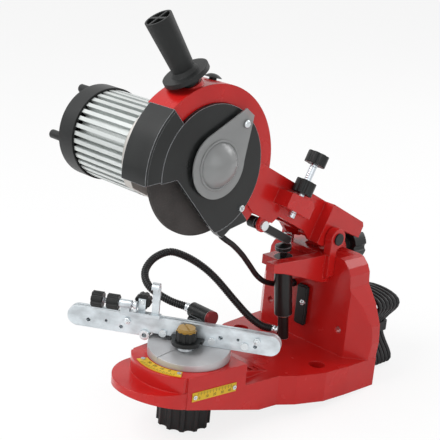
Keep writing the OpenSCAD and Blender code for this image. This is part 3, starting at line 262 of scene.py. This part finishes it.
finishes = dict(
    redPaint=dict(colour=(0.5, 0.010, 0.009), vary=0.05, rough=0.26, roughVary=0.05, coat=0.12, coatRough=0.08,
                  bump=0.08, bumpDepth=0.0006, grainScale=160, corner=0.0014,
                  # painted highlight: lighter red along the rounded edges of the castings
                  edgeHighlight=dict(width=0.0012, amount=0.5, colour=(0.74, 0.09, 0.07))),
    blackPlastic=dict(colour=(0.011, 0.012, 0.012), vary=0.25, rough=0.42, bump=0.2, grainScale=1400, corner=0.0009,
                      # painted highlight: lighter grey along the edges of the mouldings
                      edgeHighlight=dict(width=0.0007, amount=0.3, colour=(0.06, 0.06, 0.065))),
    softGrip=dict(colour=(0.012, 0.013, 0.013), vary=0.2, rough=0.5, bump=0.35, grainScale=1800, corner=0.0008),
    satinBlack=dict(colour=(0.010, 0.011, 0.011), vary=0.2, rough=0.3, coat=0.08, bump=0.08, grainScale=500,
                    # painted highlight: an even silver line along every edge of the plates
                    corner=0.0005, edgeHighlight=dict(width=0.0008, amount=0.9, colour=(0.55, 0.57, 0.6), patchy=False)),
    zinc=dict(colour=(0.66, 0.70, 0.72), vary=0.1, metal=0.9, rough=0.27, roughVary=0.08, bump=0.06, grainScale=700,
              corner=0.0004),
    jawSteel=dict(colour=(0.58, 0.63, 0.66), vary=0.2, metal=0.75, rough=0.33, roughVary=0.1, bump=0.12,
                  grainScale=500, turn=(0, 0, -35), stretch=(0.08, 1, 1), patchScale=90, corner=0.0005),
    threadedSteel=dict(colour=(0.60, 0.64, 0.68), vary=0.1, metal=0.95, rough=0.28, bump=0.35, bumpDepth=0.0005,
                       turn=(27.5, 0, 0), thread=125, corner=0.0003),
    stopThread=dict(colour=(0.58, 0.60, 0.64), vary=0.1, metal=1, rough=0.3, bump=0.9, bumpDepth=0.0006,
                    turn=(0, 90, -35), thread=160, corner=0.0003),
    machinedAluminium=dict(colour=(0.50, 0.50, 0.51), vary=0.1, metal=0.45, rough=0.42, roughVary=0.06, bump=0.3,
                           grainScale=450, corner=0.0007),
    finAluminium=dict(colour=(0.62, 0.65, 0.64), vary=0.04, metal=0.55, rough=0.3, bump=0.05, grainScale=500,
                      corner=0.0005),
    taupeCasting=dict(colour=(0.52, 0.50, 0.47), vary=0.06, metal=0.55, rough=0.46, bump=0.35, grainScale=700,
                      corner=0.0012),
    scaleYellow=dict(colour=(0.66, 0.43, 0.02), vary=0.06, rough=0.4, bump=0.04, corner=0.0002),
    scaleInk=dict(colour=(0.01, 0.01, 0.01), vary=0.1, rough=0.5, bump=0.05, corner=0.0001),
    dialBrown=dict(colour=(0.34, 0.20, 0.035), vary=0.1, rough=0.35, coat=0.2, bump=0.06, corner=0.0005),
    darkRedCap=dict(colour=(0.16, 0.012, 0.014), vary=0.1, metal=0.5, rough=0.35, bump=0.05, corner=0.0005),
    copperRing=dict(colour=(0.55, 0.24, 0.11), vary=0.1, metal=1, rough=0.3, bump=0.05, corner=0.0003),
    wrapRubber=dict(colour=(0.012, 0.012, 0.013), vary=0.2, rough=0.4, bump=0.15, grainScale=1200, corner=0.0002),
    cordSheath=dict(colour=(0.012, 0.012, 0.013), vary=0.15, rough=0.36, bump=0.08, grainScale=700, corner=0.0002),
    clearWindow=dict(colour=(0.48, 0.49, 0.49), vary=0.03, rough=0.2, roughVary=0.03, gloss=0.6, clear=0.55, ior=1.4,
                     bump=0.03, grainScale=200, corner=0.0004),
    abrasive=dict(colour=(0.055, 0.05, 0.048), vary=0.2, rough=0.85, bump=0.9, bumpDepth=0.0006, grainScale=1500,
                  corner=0.0004, specks=dict(scale=900, colour=(0.13, 0.11, 0.10))),
    motorIron=dict(colour=(0.28, 0.28, 0.29), vary=0.1, metal=1, rough=0.45, bump=0.2, stretch=(8, 1, 1),
                   grainScale=300),
    windings=dict(colour=(0.30, 0.10, 0.03), vary=0.15, metal=0.8, rough=0.4, bump=0.4, stretch=(6, 1, 1),
                  grainScale=300),
)
paint = {name: finish(name, look) for name, look in finishes.items()}

wearsFinish = dict(
    redPaint=["base_casting", "head_bracket", "head_arm"],
    scaleYellow=["angle_scales"],
    zinc=["scale_screws", "pivot_stud", "tilt_stud", "hinge_pin", "jaw_screws", "roll_pin", "tension_washer",
          "jaw_piston", "chain_pawl", "link_bolt", "lid_screws", "spindle_nut", "wheel_flanges", "motor_shaft",
          "bearings"],
    jawSteel=["fixed_jaw", "moving_jaw", "stop_arm"],
    threadedSteel=["depth_screw"],
    stopThread=["stop_screw"],
    machinedAluminium=["turntable", "jaw_stand"],
    finAluminium=["motor_housing"],
    taupeCasting=["end_shield"],
    blackPlastic=["lock_knob", "tilt_knob", "stop_end_knob", "stop_lock_knob", "stop_arm_knob", "depth_lock_knob",
                  "fan_cowl", "switch_button", "tension_plate", "tension_knob", "plug", "cord_gland", "cooling_fan"],
    softGrip=["handle"],
    satinBlack=["wheel_shroud", "guard_lid", "link_bar", "return_spring", "master_cylinder", "slave_cylinder",
                "plunger"],
    dialBrown=["tension_dial"], darkRedCap=["slave_end_cap"], copperRing=["cylinder_ring"],
    wrapRubber=["hydraulic_hose"], cordSheath=["motor_lead", "power_cord", "cord_hank"],
    clearWindow=["wheel_window"], abrasive=["grinding_wheel"],
    motorIron=["rotor"], windings=["stator"],
)
for name, cadNodes in wearsFinish.items():
    for cadNode in cadNodes:
        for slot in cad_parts[cadNode].material_slots:
            slot.material = paint[name]
print("finishes on the solids")


def splitFinish(name, cadNode, finishNames, pick, body):
    # a copy of one solid whose faces wear two finishes; pick tells the second from a face's middle
    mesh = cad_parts[cadNode].data.copy()
    mesh.transform(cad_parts[cadNode].matrix_world)
    mesh.materials.clear()
    for finishName in finishNames:
        mesh.materials.append(paint[finishName])
    for face in mesh.polygons:
        face.material_index = int(pick(face.center / mm))
    piece = bpy.data.objects.new(name, mesh)
    bpy.context.collection.objects.link(piece)
    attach(piece, body)
    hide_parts(cadNode)


# where each second finish starts, in the frame of its own group
seam = dict(depthKnobZ=59.9, pinCapX=38.1, tensionTopZ=31.8, clampScrewY=4.2)
toHead, toVise = headPlace.inverted(), visePlace.inverted()
splitFinish("depthScrew", "depth_screw", ("threadedSteel", "blackPlastic"),
            lambda p: (toHead @ p).z > seam["depthKnobZ"], "depth_stop")
splitFinish("hingePin", "hinge_pin", ("zinc", "blackPlastic"), lambda p: abs(p.x) > seam["pinCapX"], "bracket")
splitFinish("tensionKnob", "tension_knob", ("blackPlastic", "dialBrown"),
            lambda p: (toVise @ p).z > seam["tensionTopZ"], "tension")
splitFinish("stopArmKnob", "stop_arm_knob", ("blackPlastic", "zinc"),
            lambda p: (toVise @ p).y < seam["clampScrewY"], "stop_clamp")


# swept pieces
def smoothPath(points, steps):
    last = len(points) - 1
    path = []
    for i in range(last):
        p0, p1, p2, p3 = points[max(i - 1, 0)], points[i], points[i + 1], points[min(i + 2, last)]
        for k in range(steps):
            t = k / steps
            path.append(0.5 * (2 * p1 + (p2 - p0) * t + (2 * p0 - 5 * p1 + 4 * p2 - p3) * t * t
                               + (3 * p1 - p0 - 3 * p2 + p3) * t ** 3))
    return path + [points[last].copy()]


def framesAlong(path):
    frames = []
    side = None
    for i, p in enumerate(path):
        ahead = (path[min(i + 1, len(path) - 1)] - path[max(i - 1, 0)]).normalized()
        if side is None:
            side = ahead.cross(Vector((0, 0, 1)) if abs(ahead.z) < 0.9 else Vector((1, 0, 0)))
        side = (side - ahead * side.dot(ahead)).normalized()
        frames.append((p, side, ahead.cross(side)))
    return frames


def pathLength(path):
    return sum((b - a).length for a, b in zip(path, path[1:]))


def showPiece(name, mesh, finishName, smooth=True):
    for face in mesh.polygons:
        face.use_smooth = smooth
    mesh.materials.append(paint[finishName])
    piece = bpy.data.objects.new(name, mesh)
    bpy.context.collection.objects.link(piece)
    return piece


def turnOutward(mesh):
    work = bmesh.new()
    work.from_mesh(mesh)
    bmesh.ops.recalc_face_normals(work, faces=work.faces)
    work.to_mesh(mesh)
    work.free()


def circle(sides):
    return [(math.cos(2 * math.pi * k / sides), math.sin(2 * math.pi * k / sides)) for k in range(sides)]


def ringedMesh(name, verts, sides, closed=False):
    # rings of points joined by quads, with a cap at each end unless the rings close on themselves
    count = len(verts) // sides
    faces = [(i * sides + k, i * sides + (k + 1) % sides,
              (i + 1) % count * sides + (k + 1) % sides, (i + 1) % count * sides + k)
             for i in range(count if closed else count - 1) for k in range(sides)]
    if not closed:
        last = (count - 1) * sides
        faces += [tuple(range(sides))[::-1], tuple(range(last, last + sides))]
    mesh = bpy.data.meshes.new(name)
    mesh.from_pydata(verts, [], faces)
    turnOutward(mesh)
    return mesh


def sweptTube(name, path, radii, sides, finishName):
    verts = [p + r * (c * side + s * up) for (p, side, up), r in zip(framesAlong(path), radii)
             for c, s in circle(sides)]
    return showPiece(name, ringedMesh(name, verts, sides), finishName)


def turnedSolid(name, profile, place, sides, finishName, smooth=True):
    # profile holds (distance along the axis, radius); the axis is the place's own Z
    verts = [place @ Vector((r * c, r * s, z)) * mm for z, r in profile for c, s in circle(sides)]
    return showPiece(name, ringedMesh(name, verts, sides), finishName, smooth)


def hexNut(name, place, acrossFlats, height, stud, studHeight, body):
    corner = acrossFlats / math.sqrt(3)
    nut = turnedSolid(name, [(0, corner * 0.9), (0.3, corner), (height - 0.4, corner), (height, corner * 0.88)],
                      place, 6, "zinc", False)
    rod = turnedSolid(name + "Stud", [(0.2, stud), (studHeight - 0.5, stud), (studHeight, stud - 0.5)], place, 20,
                      "zinc")
    for piece in (nut, rod):
        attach(piece, body)


# power cord: out of the column, folded into a hank, then to the plug
cordLook = dict(diameter=6, gland=(-16, 75, 18), loops=6, steps=24, pitch=6.8, x=36, y0=97, halfHeight=45,
                waist=10, lobe=60, sides=14, stepsPerPoint=4)


def hankPoint(i):
    a = math.radians(180 + 360 * i / cordLook["steps"])
    reach = cordLook["waist"] + cordLook["lobe"] * math.sin(a) ** 2
    return Vector((cordLook["x"] + math.cos(a) * reach, cordLook["y0"] + cordLook["pitch"] * i / cordLook["steps"],
                   cordLook["halfHeight"] + cordLook["diameter"] / 2 + 0.1 + cordLook["halfHeight"] * math.sin(a)))


hankPath = [hankPoint(i / 2) for i in range(2 * cordLook["loops"] * cordLook["steps"] + 1)]
coarse = [hankPoint(i) for i in range(cordLook["loops"] * cordLook["steps"] + 1)]
hankIn = (coarse[1] - coarse[0]).normalized()
hankOut = (coarse[-1] - coarse[-2]).normalized()
glandX, columnBack, glandZ = cordLook["gland"]
cordOut = [Vector(p) for p in ((glandX, columnBack + 6.3, glandZ), (glandX, 92, 18.2), (glandX, 100, 22),
                               (-16, 105, 32), (-15.5, 106, 46), (-14, 104.5, 60), (-10, 101, 72), (-2, 97, 82),
                               (9, 94.5, 86), (20, 93.5, 82), (26.5, 94.5, 71))]
cordOut += [coarse[0] - 8 * hankIn, coarse[0] - 4 * hankIn]
cordEnd = [coarse[-1] + 4 * hankOut, coarse[-1] + 8 * hankOut]
cordEnd += [Vector(p) for p in ((20, 143, 28), (16, 147, 16), (8, 149, 10), (0, 149, 8.4), (-6, 149, 8.3),
                                (-12, 149, 8.3))]
outPath = smoothPath(cordOut + [coarse[0]], cordLook["stepsPerPoint"])[:-1]
endPath = smoothPath([coarse[-1]] + cordEnd, cordLook["stepsPerPoint"])[1:]
cordPath = [p * mm for p in outPath + hankPath + endPath]
powerCord = sweptTube("powerCord", cordPath, [cordLook["diameter"] / 2 * mm] * len(cordPath), cordLook["sides"],
                      "cordSheath")
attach(powerCord, "base")
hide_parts("power_cord", "cord_hank")
print("power cord", round(pathLength(cordPath), 3), "m")

# tie round the waist of the hank
tieLook = dict(halfHeight=6, above=3, thickness=1.6, corner=3, cornerSteps=6, gap=0.4)
waistX, waistZ = cordLook["x"], cordLook["halfHeight"] + tieLook["above"]
clear = cordLook["diameter"] / 2 + tieLook["gap"]
halfX = cordLook["waist"] + clear
tieY0, tieY1 = cordLook["y0"] - clear, cordLook["y0"] + cordLook["pitch"] * cordLook["loops"] + clear
tieRing = []
for xSign, ySign, firstAngle in ((1, 1, 0), (-1, 1, 90), (-1, -1, 180), (1, -1, 270)):
    for k in range(tieLook["cornerSteps"] + 1):
        a = math.radians(firstAngle + 90 / tieLook["cornerSteps"] * k)
        tieRing.append((waistX + xSign * (halfX - tieLook["corner"]) + tieLook["corner"] * math.cos(a),
                        (tieY1 if ySign > 0 else tieY0) - ySign * tieLook["corner"] + tieLook["corner"] * math.sin(a),
                        math.cos(a), math.sin(a)))
tieHalf, tieWall = tieLook["halfHeight"], tieLook["thickness"]
tieVerts = [((x + nx * t) * mm, (y + ny * t) * mm, (waistZ + z) * mm) for x, y, nx, ny in tieRing
            for t, z in ((0, -tieHalf), (0, tieHalf), (tieWall, tieHalf), (tieWall, -tieHalf))]
hankTie = showPiece("hankTie", ringedMesh("hankTie", tieVerts, 4, True), "softGrip", False)
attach(hankTie, "base")

# tapered boot where the cord leaves the gland
bootLook = dict(length=30, baseRadius=6, tipRadius=3.6, ribs=7, ribDepth=0.45, stepsPerRib=8)


def taperedBoot(name, path, look, body):
    travelled, along = 0, [0]
    for a, b in zip(path, path[1:]):
        travelled += (b - a).length * 1000
        along.append(travelled)
    fine, radii = [], []
    stepsPerRib, depth = bootLook["stepsPerRib"], bootLook["ribDepth"]
    steps = look["ribs"] * stepsPerRib
    for i in range(steps + 1):
        s = look["length"] * i / steps
        k = next(j for j in range(1, len(along)) if along[j] >= s - 1e-9 or j == len(along) - 1)
        part = (s - along[k - 1]) / (along[k] - along[k - 1])
        fine.append(path[k - 1].lerp(path[k], part))
        taper = look["baseRadius"] + (look["tipRadius"] - look["baseRadius"]) * i / steps
        radii.append((taper - depth * (0.5 - 0.5 * math.cos(2 * math.pi * i / stepsPerRib))) * mm)
    boot = sweptTube(name, fine, radii, 20, "cordSheath")
    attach(boot, body)


taperedBoot("cordBoot", cordPath, bootLook, "base")

# motor lead: from the arm down to the column plate
leadLook = dict(diameter=6.4, sides=16, stepsPerPoint=6, splitPoint=8, heldPoints=2,
                boot=dict(length=18, baseRadius=5, tipRadius=3.7, ribs=5), bootBeforeY=39.6)
leadPoints = metres([(-18, -71, 208.4), (-18, -80, 200), (-16, -94, 192), (-12, -101, 186), (-9, -97, 181),
                     (-8, -84, 172), (-8, -68, 158), (-10, -52, 142), (-12, -36, 126), (-15, -18, 114), (-18, 4, 106),
                     (-20, 24, 101), (-20, 39, 100), (-20, 44, 100)])
leadPath = smoothPath(leadPoints, leadLook["stepsPerPoint"])
leadSplit = leadLook["splitPoint"] * leadLook["stepsPerPoint"]
for name, path, bodies in (("motorLeadUpper", leadPath[:leadSplit + 1], ("bracket", "head")),
                           ("motorLeadLower", leadPath[leadSplit:][::-1], ("base", "bracket"))):
    lead = sweptTube(name, path, [leadLook["diameter"] / 2 * mm] * len(path), leadLook["sides"], "cordSheath")
    if bodies[1] == "head":
        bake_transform(lead)
        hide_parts("motor_lead")
    else:
        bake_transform(lead)
taperedBoot("leadBootColumn", [p for p in leadPath[::-1] if p.y < leadLook["bootBeforeY"] * mm], leadLook["boot"],
            "base")

# hydraulic hose with its spiral wrap and end fittings
hoseLook = dict(core=3.9, sides=16, stepsPerPoint=8, splitPoint=6, heldSteps=10,
                wrapPitch=2.7, wrapHalfWidth=1.15, wrapHalfThick=0.5, wrapProud=0.1, wrapSides=8, wrapSteps=16,
                ferrule=((0.2, 4.4), (0.5, 4.9), (1.8, 4.9), (2.2, 4.6), (2.7, 4.6), (3.1, 4.95), (6, 4.95), (6.4, 4.6),
                         (6.9, 4.6), (7.3, 4.95), (9, 4.95), (9.6, 4.3)))
hosePoints = metres([(-26.4, -119.3, 97.5), (-36, -120, 97.5), (-56, -130, 101), (-80, -137, 110), (-96, -131, 121),
                     (-100, -116, 133), (-98, -94, 138), (-90, -76, 132), (-78, -60, 121), (-64, -48, 107),
                     (-45, -33, 83), (-32, -21, 66), (-22, -9, 55), (-15, 3, 50.5), (-7.15, 7.2, 50)])
hosePath = smoothPath(hosePoints, hoseLook["stepsPerPoint"])
hoseSplit = hoseLook["splitPoint"] * hoseLook["stepsPerPoint"]


def spiralWrap(name, path, look):
    frames = framesAlong(path)
    lengths = [0]
    for a, b in zip(path, path[1:]):
        lengths.append(lengths[-1] + (b - a).length * 1000)
    verts = []
    steps = int(lengths[-1] / look["wrapPitch"] * look["wrapSteps"])
    k = 1
    for i in range(steps + 1):
        s = lengths[-1] * i / steps
        while lengths[k] < s - 1e-9 and k < len(lengths) - 1:
            k += 1
        part = (s - lengths[k - 1]) / (lengths[k] - lengths[k - 1])
        p = frames[k - 1][0].lerp(frames[k][0], part)
        side = frames[k - 1][1].lerp(frames[k][1], part).normalized()
        up = frames[k - 1][2].lerp(frames[k][2], part).normalized()
        ahead = (frames[k][0] - frames[k - 1][0]).normalized()
        a = 2 * math.pi * i / look["wrapSteps"]
        out = math.cos(a) * side + math.sin(a) * up
        verts += [p + out * (look["core"] + look["wrapProud"] + look["wrapHalfThick"] * s) * mm
                  + ahead * look["wrapHalfWidth"] * c * mm for c, s in circle(look["wrapSides"])]
    return ringedMesh(name, verts, look["wrapSides"])


for name, path, bodies in (("hoseFront", hosePath[:hoseSplit + 1], ("base", "vise")),
                           ("hoseBack", hosePath[hoseSplit:][::-1], ("base", "bracket"))):
    hose = sweptTube(name, path, [hoseLook["core"] * mm] * len(path), hoseLook["sides"], "wrapRubber")
    joined = bmesh.new()
    joined.from_mesh(hose.data)
    joined.from_mesh(spiralWrap(name + "Wrap", path, hoseLook))
    joined.to_mesh(hose.data)
    joined.free()
    for face in hose.data.polygons:
        face.use_smooth = True
    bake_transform(hose)
    if bodies[1] == "vise":
        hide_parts("hydraulic_hose")
    facing = (path[1] - path[0]).to_track_quat("Z", "Y").to_matrix().to_4x4()
    ferrule = turnedSolid(name + "Ferrule", hoseLook["ferrule"], Matrix.Translation(path[0] * 1000) @ facing, 32,
                          "zinc")
    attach(ferrule, bodies[1])
print("hose, lead and cord made")

# return spring under the arm
springLook = dict(radius=4.6, wire=1.5, turns=6, x=-13.5, y=12, z0=147.3, height=24, stepsPerTurn=24, sides=10)
springPath = []
springSteps = springLook["stepsPerTurn"] * springLook["turns"]
for i in range(springSteps + 1):
    a = 2 * math.pi * i / springLook["stepsPerTurn"]
    rise = springLook["wire"] / 2 + (springLook["height"] - springLook["wire"]) * i / springSteps
    springPath.append(Vector((springLook["x"] + springLook["radius"] * math.cos(a),
                              springLook["y"] + springLook["radius"] * math.sin(a), springLook["z0"] + rise)) * mm)
spring = sweptTube("returnSpring", springPath, [springLook["wire"] / 2 * mm] * len(springPath), springLook["sides"],
                   "zinc")
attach(spring, "bracket")
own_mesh(spring)
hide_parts("return_spring")


# scale ticks and numbers
tickHeight = 0.16


def tickTree():
    tree = bpy.data.node_groups.new("ticksOnArc", "GeometryNodeTree")
    for label, kind, value in (("Count", "NodeSocketInt", 13), ("Radius", "NodeSocketFloat", 0.05),
                               ("Start angle", "NodeSocketFloat", 0.0), ("Sweep", "NodeSocketFloat", 1.0),
                               ("Tick width", "NodeSocketFloat", 0.0004), ("Tick length", "NodeSocketFloat", 0.004)):
        tree.interface.new_socket(label, in_out="INPUT", socket_type=kind).default_value = value
    tree.interface.new_socket("Geometry", in_out="OUTPUT", socket_type="NodeSocketGeometry")
    nodes, links = tree.nodes, tree.links
    given, made = nodes.new("NodeGroupInput"), nodes.new("NodeGroupOutput")
    arc = nodes.new("GeometryNodeCurveArc")
    arc.mode = "RADIUS"
    links.new(given.outputs["Count"], arc.inputs["Resolution"])
    links.new(given.outputs["Radius"], arc.inputs["Radius"])
    links.new(given.outputs["Start angle"], arc.inputs["Start Angle"])
    links.new(given.outputs["Sweep"], arc.inputs["Sweep Angle"])
    size = nodes.new("ShaderNodeCombineXYZ")
    size.inputs["Z"].default_value = tickHeight * mm
    links.new(given.outputs["Tick length"], size.inputs["X"])
    links.new(given.outputs["Tick width"], size.inputs["Y"])
    tick = nodes.new("GeometryNodeMeshCube")
    links.new(size.outputs[0], tick.inputs["Size"])
    where = nodes.new("GeometryNodeInputPosition")
    lean = nodes.new("FunctionNodeAlignRotationToVector")
    lean.axis = "X"
    links.new(where.outputs[0], lean.inputs["Vector"])
    lay = nodes.new("GeometryNodeInstanceOnPoints")
    links.new(arc.outputs["Curve"], lay.inputs["Points"])
    links.new(tick.outputs["Mesh"], lay.inputs["Instance"])
    links.new(lean.outputs[0], lay.inputs["Rotation"])
    real = nodes.new("GeometryNodeRealizeInstances")
    links.new(lay.outputs[0], real.inputs[0])
    links.new(real.outputs[0], made.inputs[0])
    return tree


def socketId(tree, label):
    return next(item.identifier for item in tree.interface.items_tree if item.name == label and item.in_out == "INPUT")


def grownMesh(name, tree, values):
    carrier = bpy.data.objects.new(name, bpy.data.meshes.new(name))
    bpy.context.collection.objects.link(carrier)
    grow = carrier.modifiers.new("grow", "NODES")
    grow.node_group = tree
    for label, value in values.items():
        grow[socketId(tree, label)] = value
    bpy.context.view_layer.update()
    ready = carrier.evaluated_get(bpy.context.evaluated_depsgraph_get())
    mesh = bpy.data.meshes.new_from_object(ready)
    bpy.data.objects.remove(carrier)
    return mesh


def wordMesh(text, size):
    curve = bpy.data.curves.new("word", "FONT")
    curve.body, curve.size, curve.extrude = text, size, 0.00006
    curve.align_x, curve.align_y = "CENTER", "CENTER"
    word = bpy.data.objects.new("word", curve)
    bpy.context.collection.objects.link(word)
    bpy.context.view_layer.update()
    mesh = bpy.data.meshes.new_from_object(word.evaluated_get(bpy.context.evaluated_depsgraph_get()))
    bpy.data.objects.remove(word)
    return mesh


def joinMeshes(name, parts, finishName, body):
    whole = bmesh.new()
    for mesh, place in parts:
        mesh.transform(place)
        whole.from_mesh(mesh)
    merged = bpy.data.meshes.new(name)
    whole.to_mesh(merged)
    whole.free()
    piece = showPiece(name, merged, finishName, False)
    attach(piece, body)
    return piece


ticks = tickTree()
arcScale = dict(centre=(0, -145, 60.8), start=-103, sweep=45, proud=0.06, numberRadius=50.5, numberSize=5.2,
                rows=((23, 57.2, 2.2, 0.28), (12, 56.2, 4.2, 0.4)),  # ticks, radius, length, width
                labels=((-97, "30"), (-86.5, "20"), (-76, "10"), (-65.5, "0")))
arcCentre = Vector(arcScale["centre"]) * mm
parts = []
for count, radius, length, width in arcScale["rows"]:
    mesh = grownMesh("arcTicks", ticks, {"Count": count, "Radius": radius * mm, "Tick length": length * mm,
                                         "Tick width": width * mm, "Start angle": math.radians(arcScale["start"]),
                                         "Sweep": math.radians(arcScale["sweep"])})
    parts.append((mesh, Matrix.Translation(arcCentre + Vector((0, 0, arcScale["proud"] * mm)))))
for angle, text in arcScale["labels"]:
    spin = Matrix.Rotation(math.radians(angle + 90), 4, "Z")
    at = arcCentre + spin @ Vector((0, -arcScale["numberRadius"] * mm, arcScale["proud"] * mm))
    parts.append((wordMesh(text, arcScale["numberSize"] * mm), Matrix.Translation(at) @ spin))
joinMeshes("arcScaleMarks", parts, "scaleInk", "base")

sideScale = dict(corner=(45, -185, 0), lean=math.degrees(math.atan2(8.5, 77)), z=37, proud=0.86, ticks=23, firstTick=13,
                 tickStep=2, tickTop=4.4, tall=(3.6, 0.4), short=(2.2, 0.28), labels=("0", "10", "20", "30", "40"),
                 firstLabel=15, labelStep=10, labelDrop=2, labelSize=4.2)
sideTurn = Matrix.Rotation(math.radians(90 - sideScale["lean"]), 4, "Z") @ Matrix.Rotation(math.radians(90), 4, "X")
sidePlace = Matrix.Translation(Vector(sideScale["corner"]) * mm) @ sideTurn


def onSide(x, z):
    return sidePlace @ Matrix.Translation(Vector((x, z, sideScale["proud"])) * mm)


parts = []
for i in range(sideScale["ticks"]):
    mesh = bpy.data.meshes.new("tick")
    work = bmesh.new()
    bmesh.ops.create_cube(work, size=1)
    work.to_mesh(mesh)
    work.free()
    height, width = sideScale["short" if i % 2 else "tall"]
    size = Matrix.Diagonal((width * mm, height * mm, tickHeight * mm, 1))
    along = sideScale["firstTick"] + sideScale["tickStep"] * i
    parts.append((mesh, onSide(along, sideScale["z"] + sideScale["tickTop"] - height / 2) @ size))
for i, text in enumerate(sideScale["labels"]):
    along = sideScale["firstLabel"] + sideScale["labelStep"] * i
    parts.append((wordMesh(text, sideScale["labelSize"] * mm), onSide(along, sideScale["z"] - sideScale["labelDrop"])))
joinMeshes("sideScaleMarks", parts, "scaleInk", "base")
print("scales marked")

# hexagon nuts on the front jaw, rivet and rim of the window, and a black box on the column: partly the clamp of the
# lead, partly painted shade filling the dark gap behind the master cylinder
facingFront = Matrix.Rotation(math.radians(90), 4, "X")
jawNuts = dict(places=((-70.5, 27.6), (72.6, 27.9)), acrossFlats=7, height=3, stud=2, studHeight=4.6)
for i, (x, z) in enumerate(jawNuts["places"]):
    nutPlace = visePlace @ Matrix.Translation((x, -0.05, z)) @ facingFront
    hexNut("jawNut%d" % i, nutPlace, jawNuts["acrossFlats"], jawNuts["height"], jawNuts["stud"], jawNuts["studHeight"],
           "vise")
facingRight = Matrix.Rotation(math.radians(90), 4, "Y")
windowTrim = dict(rivetAt=(22, 11, 58), rivet=((0, 4.3), (0.7, 4.3), (1.6, 3.4), (2.0, 2.0)), rimCentre=(20.8, 0, 7),
                  rimProud=0.5, rimRadius=25.4, rimHalfWidth=1.5, rimHalfHeight=0.9, rimSteps=72, rimSides=8)
rivet = turnedSolid("windowRivet", windowTrim["rivet"],
                    wheelPlace @ Matrix.Translation(windowTrim["rivetAt"]) @ facingRight, 32, "zinc")
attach(rivet, "window")
rimX, rimY, rimZ = windowTrim["rimCentre"]
across = (wheelPlace.to_3x3() @ Vector((1, 0, 0))).normalized()
rimVerts = []
for c, s in circle(windowTrim["rimSteps"]):
    p = wheelPlace @ Vector((rimX + windowTrim["rimProud"], rimY + windowTrim["rimRadius"] * c,
                             rimZ + windowTrim["rimRadius"] * s)) * mm
    outwards = (p - wheelPlace @ Vector(windowTrim["rimCentre"]) * mm).normalized()
    outwards = (outwards - across * outwards.dot(across)).normalized()
    rimVerts += [p + (u * outwards * windowTrim["rimHalfWidth"] + v * across * windowTrim["rimHalfHeight"]) * mm
                 for u, v in circle(windowTrim["rimSides"])]
ringMesh = ringedMesh("windowRim", rimVerts, windowTrim["rimSides"], True)
windowRim = showPiece("windowRim", ringMesh, "clearWindow")
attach(windowRim, "window")

# black lead clamp drawn wide enough to fill the dark gap behind the master cylinder; the extra black is painted shade
clampAndShadeLook = dict(low=(-10, 33.5, 54), high=(7, 39.9, 104), round=2.2, nutAt=(3, 33.5, 84), acrossFlats=6.5,
                 height=2.6, stud=1.8, studHeight=4)
clampAndShadeMesh = bpy.data.meshes.new("leadClampAndShade")
work = bmesh.new()
bmesh.ops.create_cube(work, size=1)
for v in work.verts:
    v.co = Vector([low if c < 0 else high for c, low, high in zip(v.co, clampAndShadeLook["low"], clampAndShadeLook["high"])]) * mm
bmesh.ops.bevel(work, geom=work.edges[:], offset=clampAndShadeLook["round"] * mm, segments=3, affect="EDGES")
bmesh.ops.recalc_face_normals(work, faces=work.faces)
work.to_mesh(clampAndShadeMesh)
work.free()
leadClampAndShade = showPiece("leadClampAndShade", clampAndShadeMesh, "blackPlastic", False)
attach(leadClampAndShade, "base")
hexNut("clampNut", Matrix.Translation(clampAndShadeLook["nutAt"]) @ facingFront, clampAndShadeLook["acrossFlats"], clampAndShadeLook["height"],
       clampAndShadeLook["stud"], clampAndShadeLook["studHeight"], "base")
print("small fittings made")
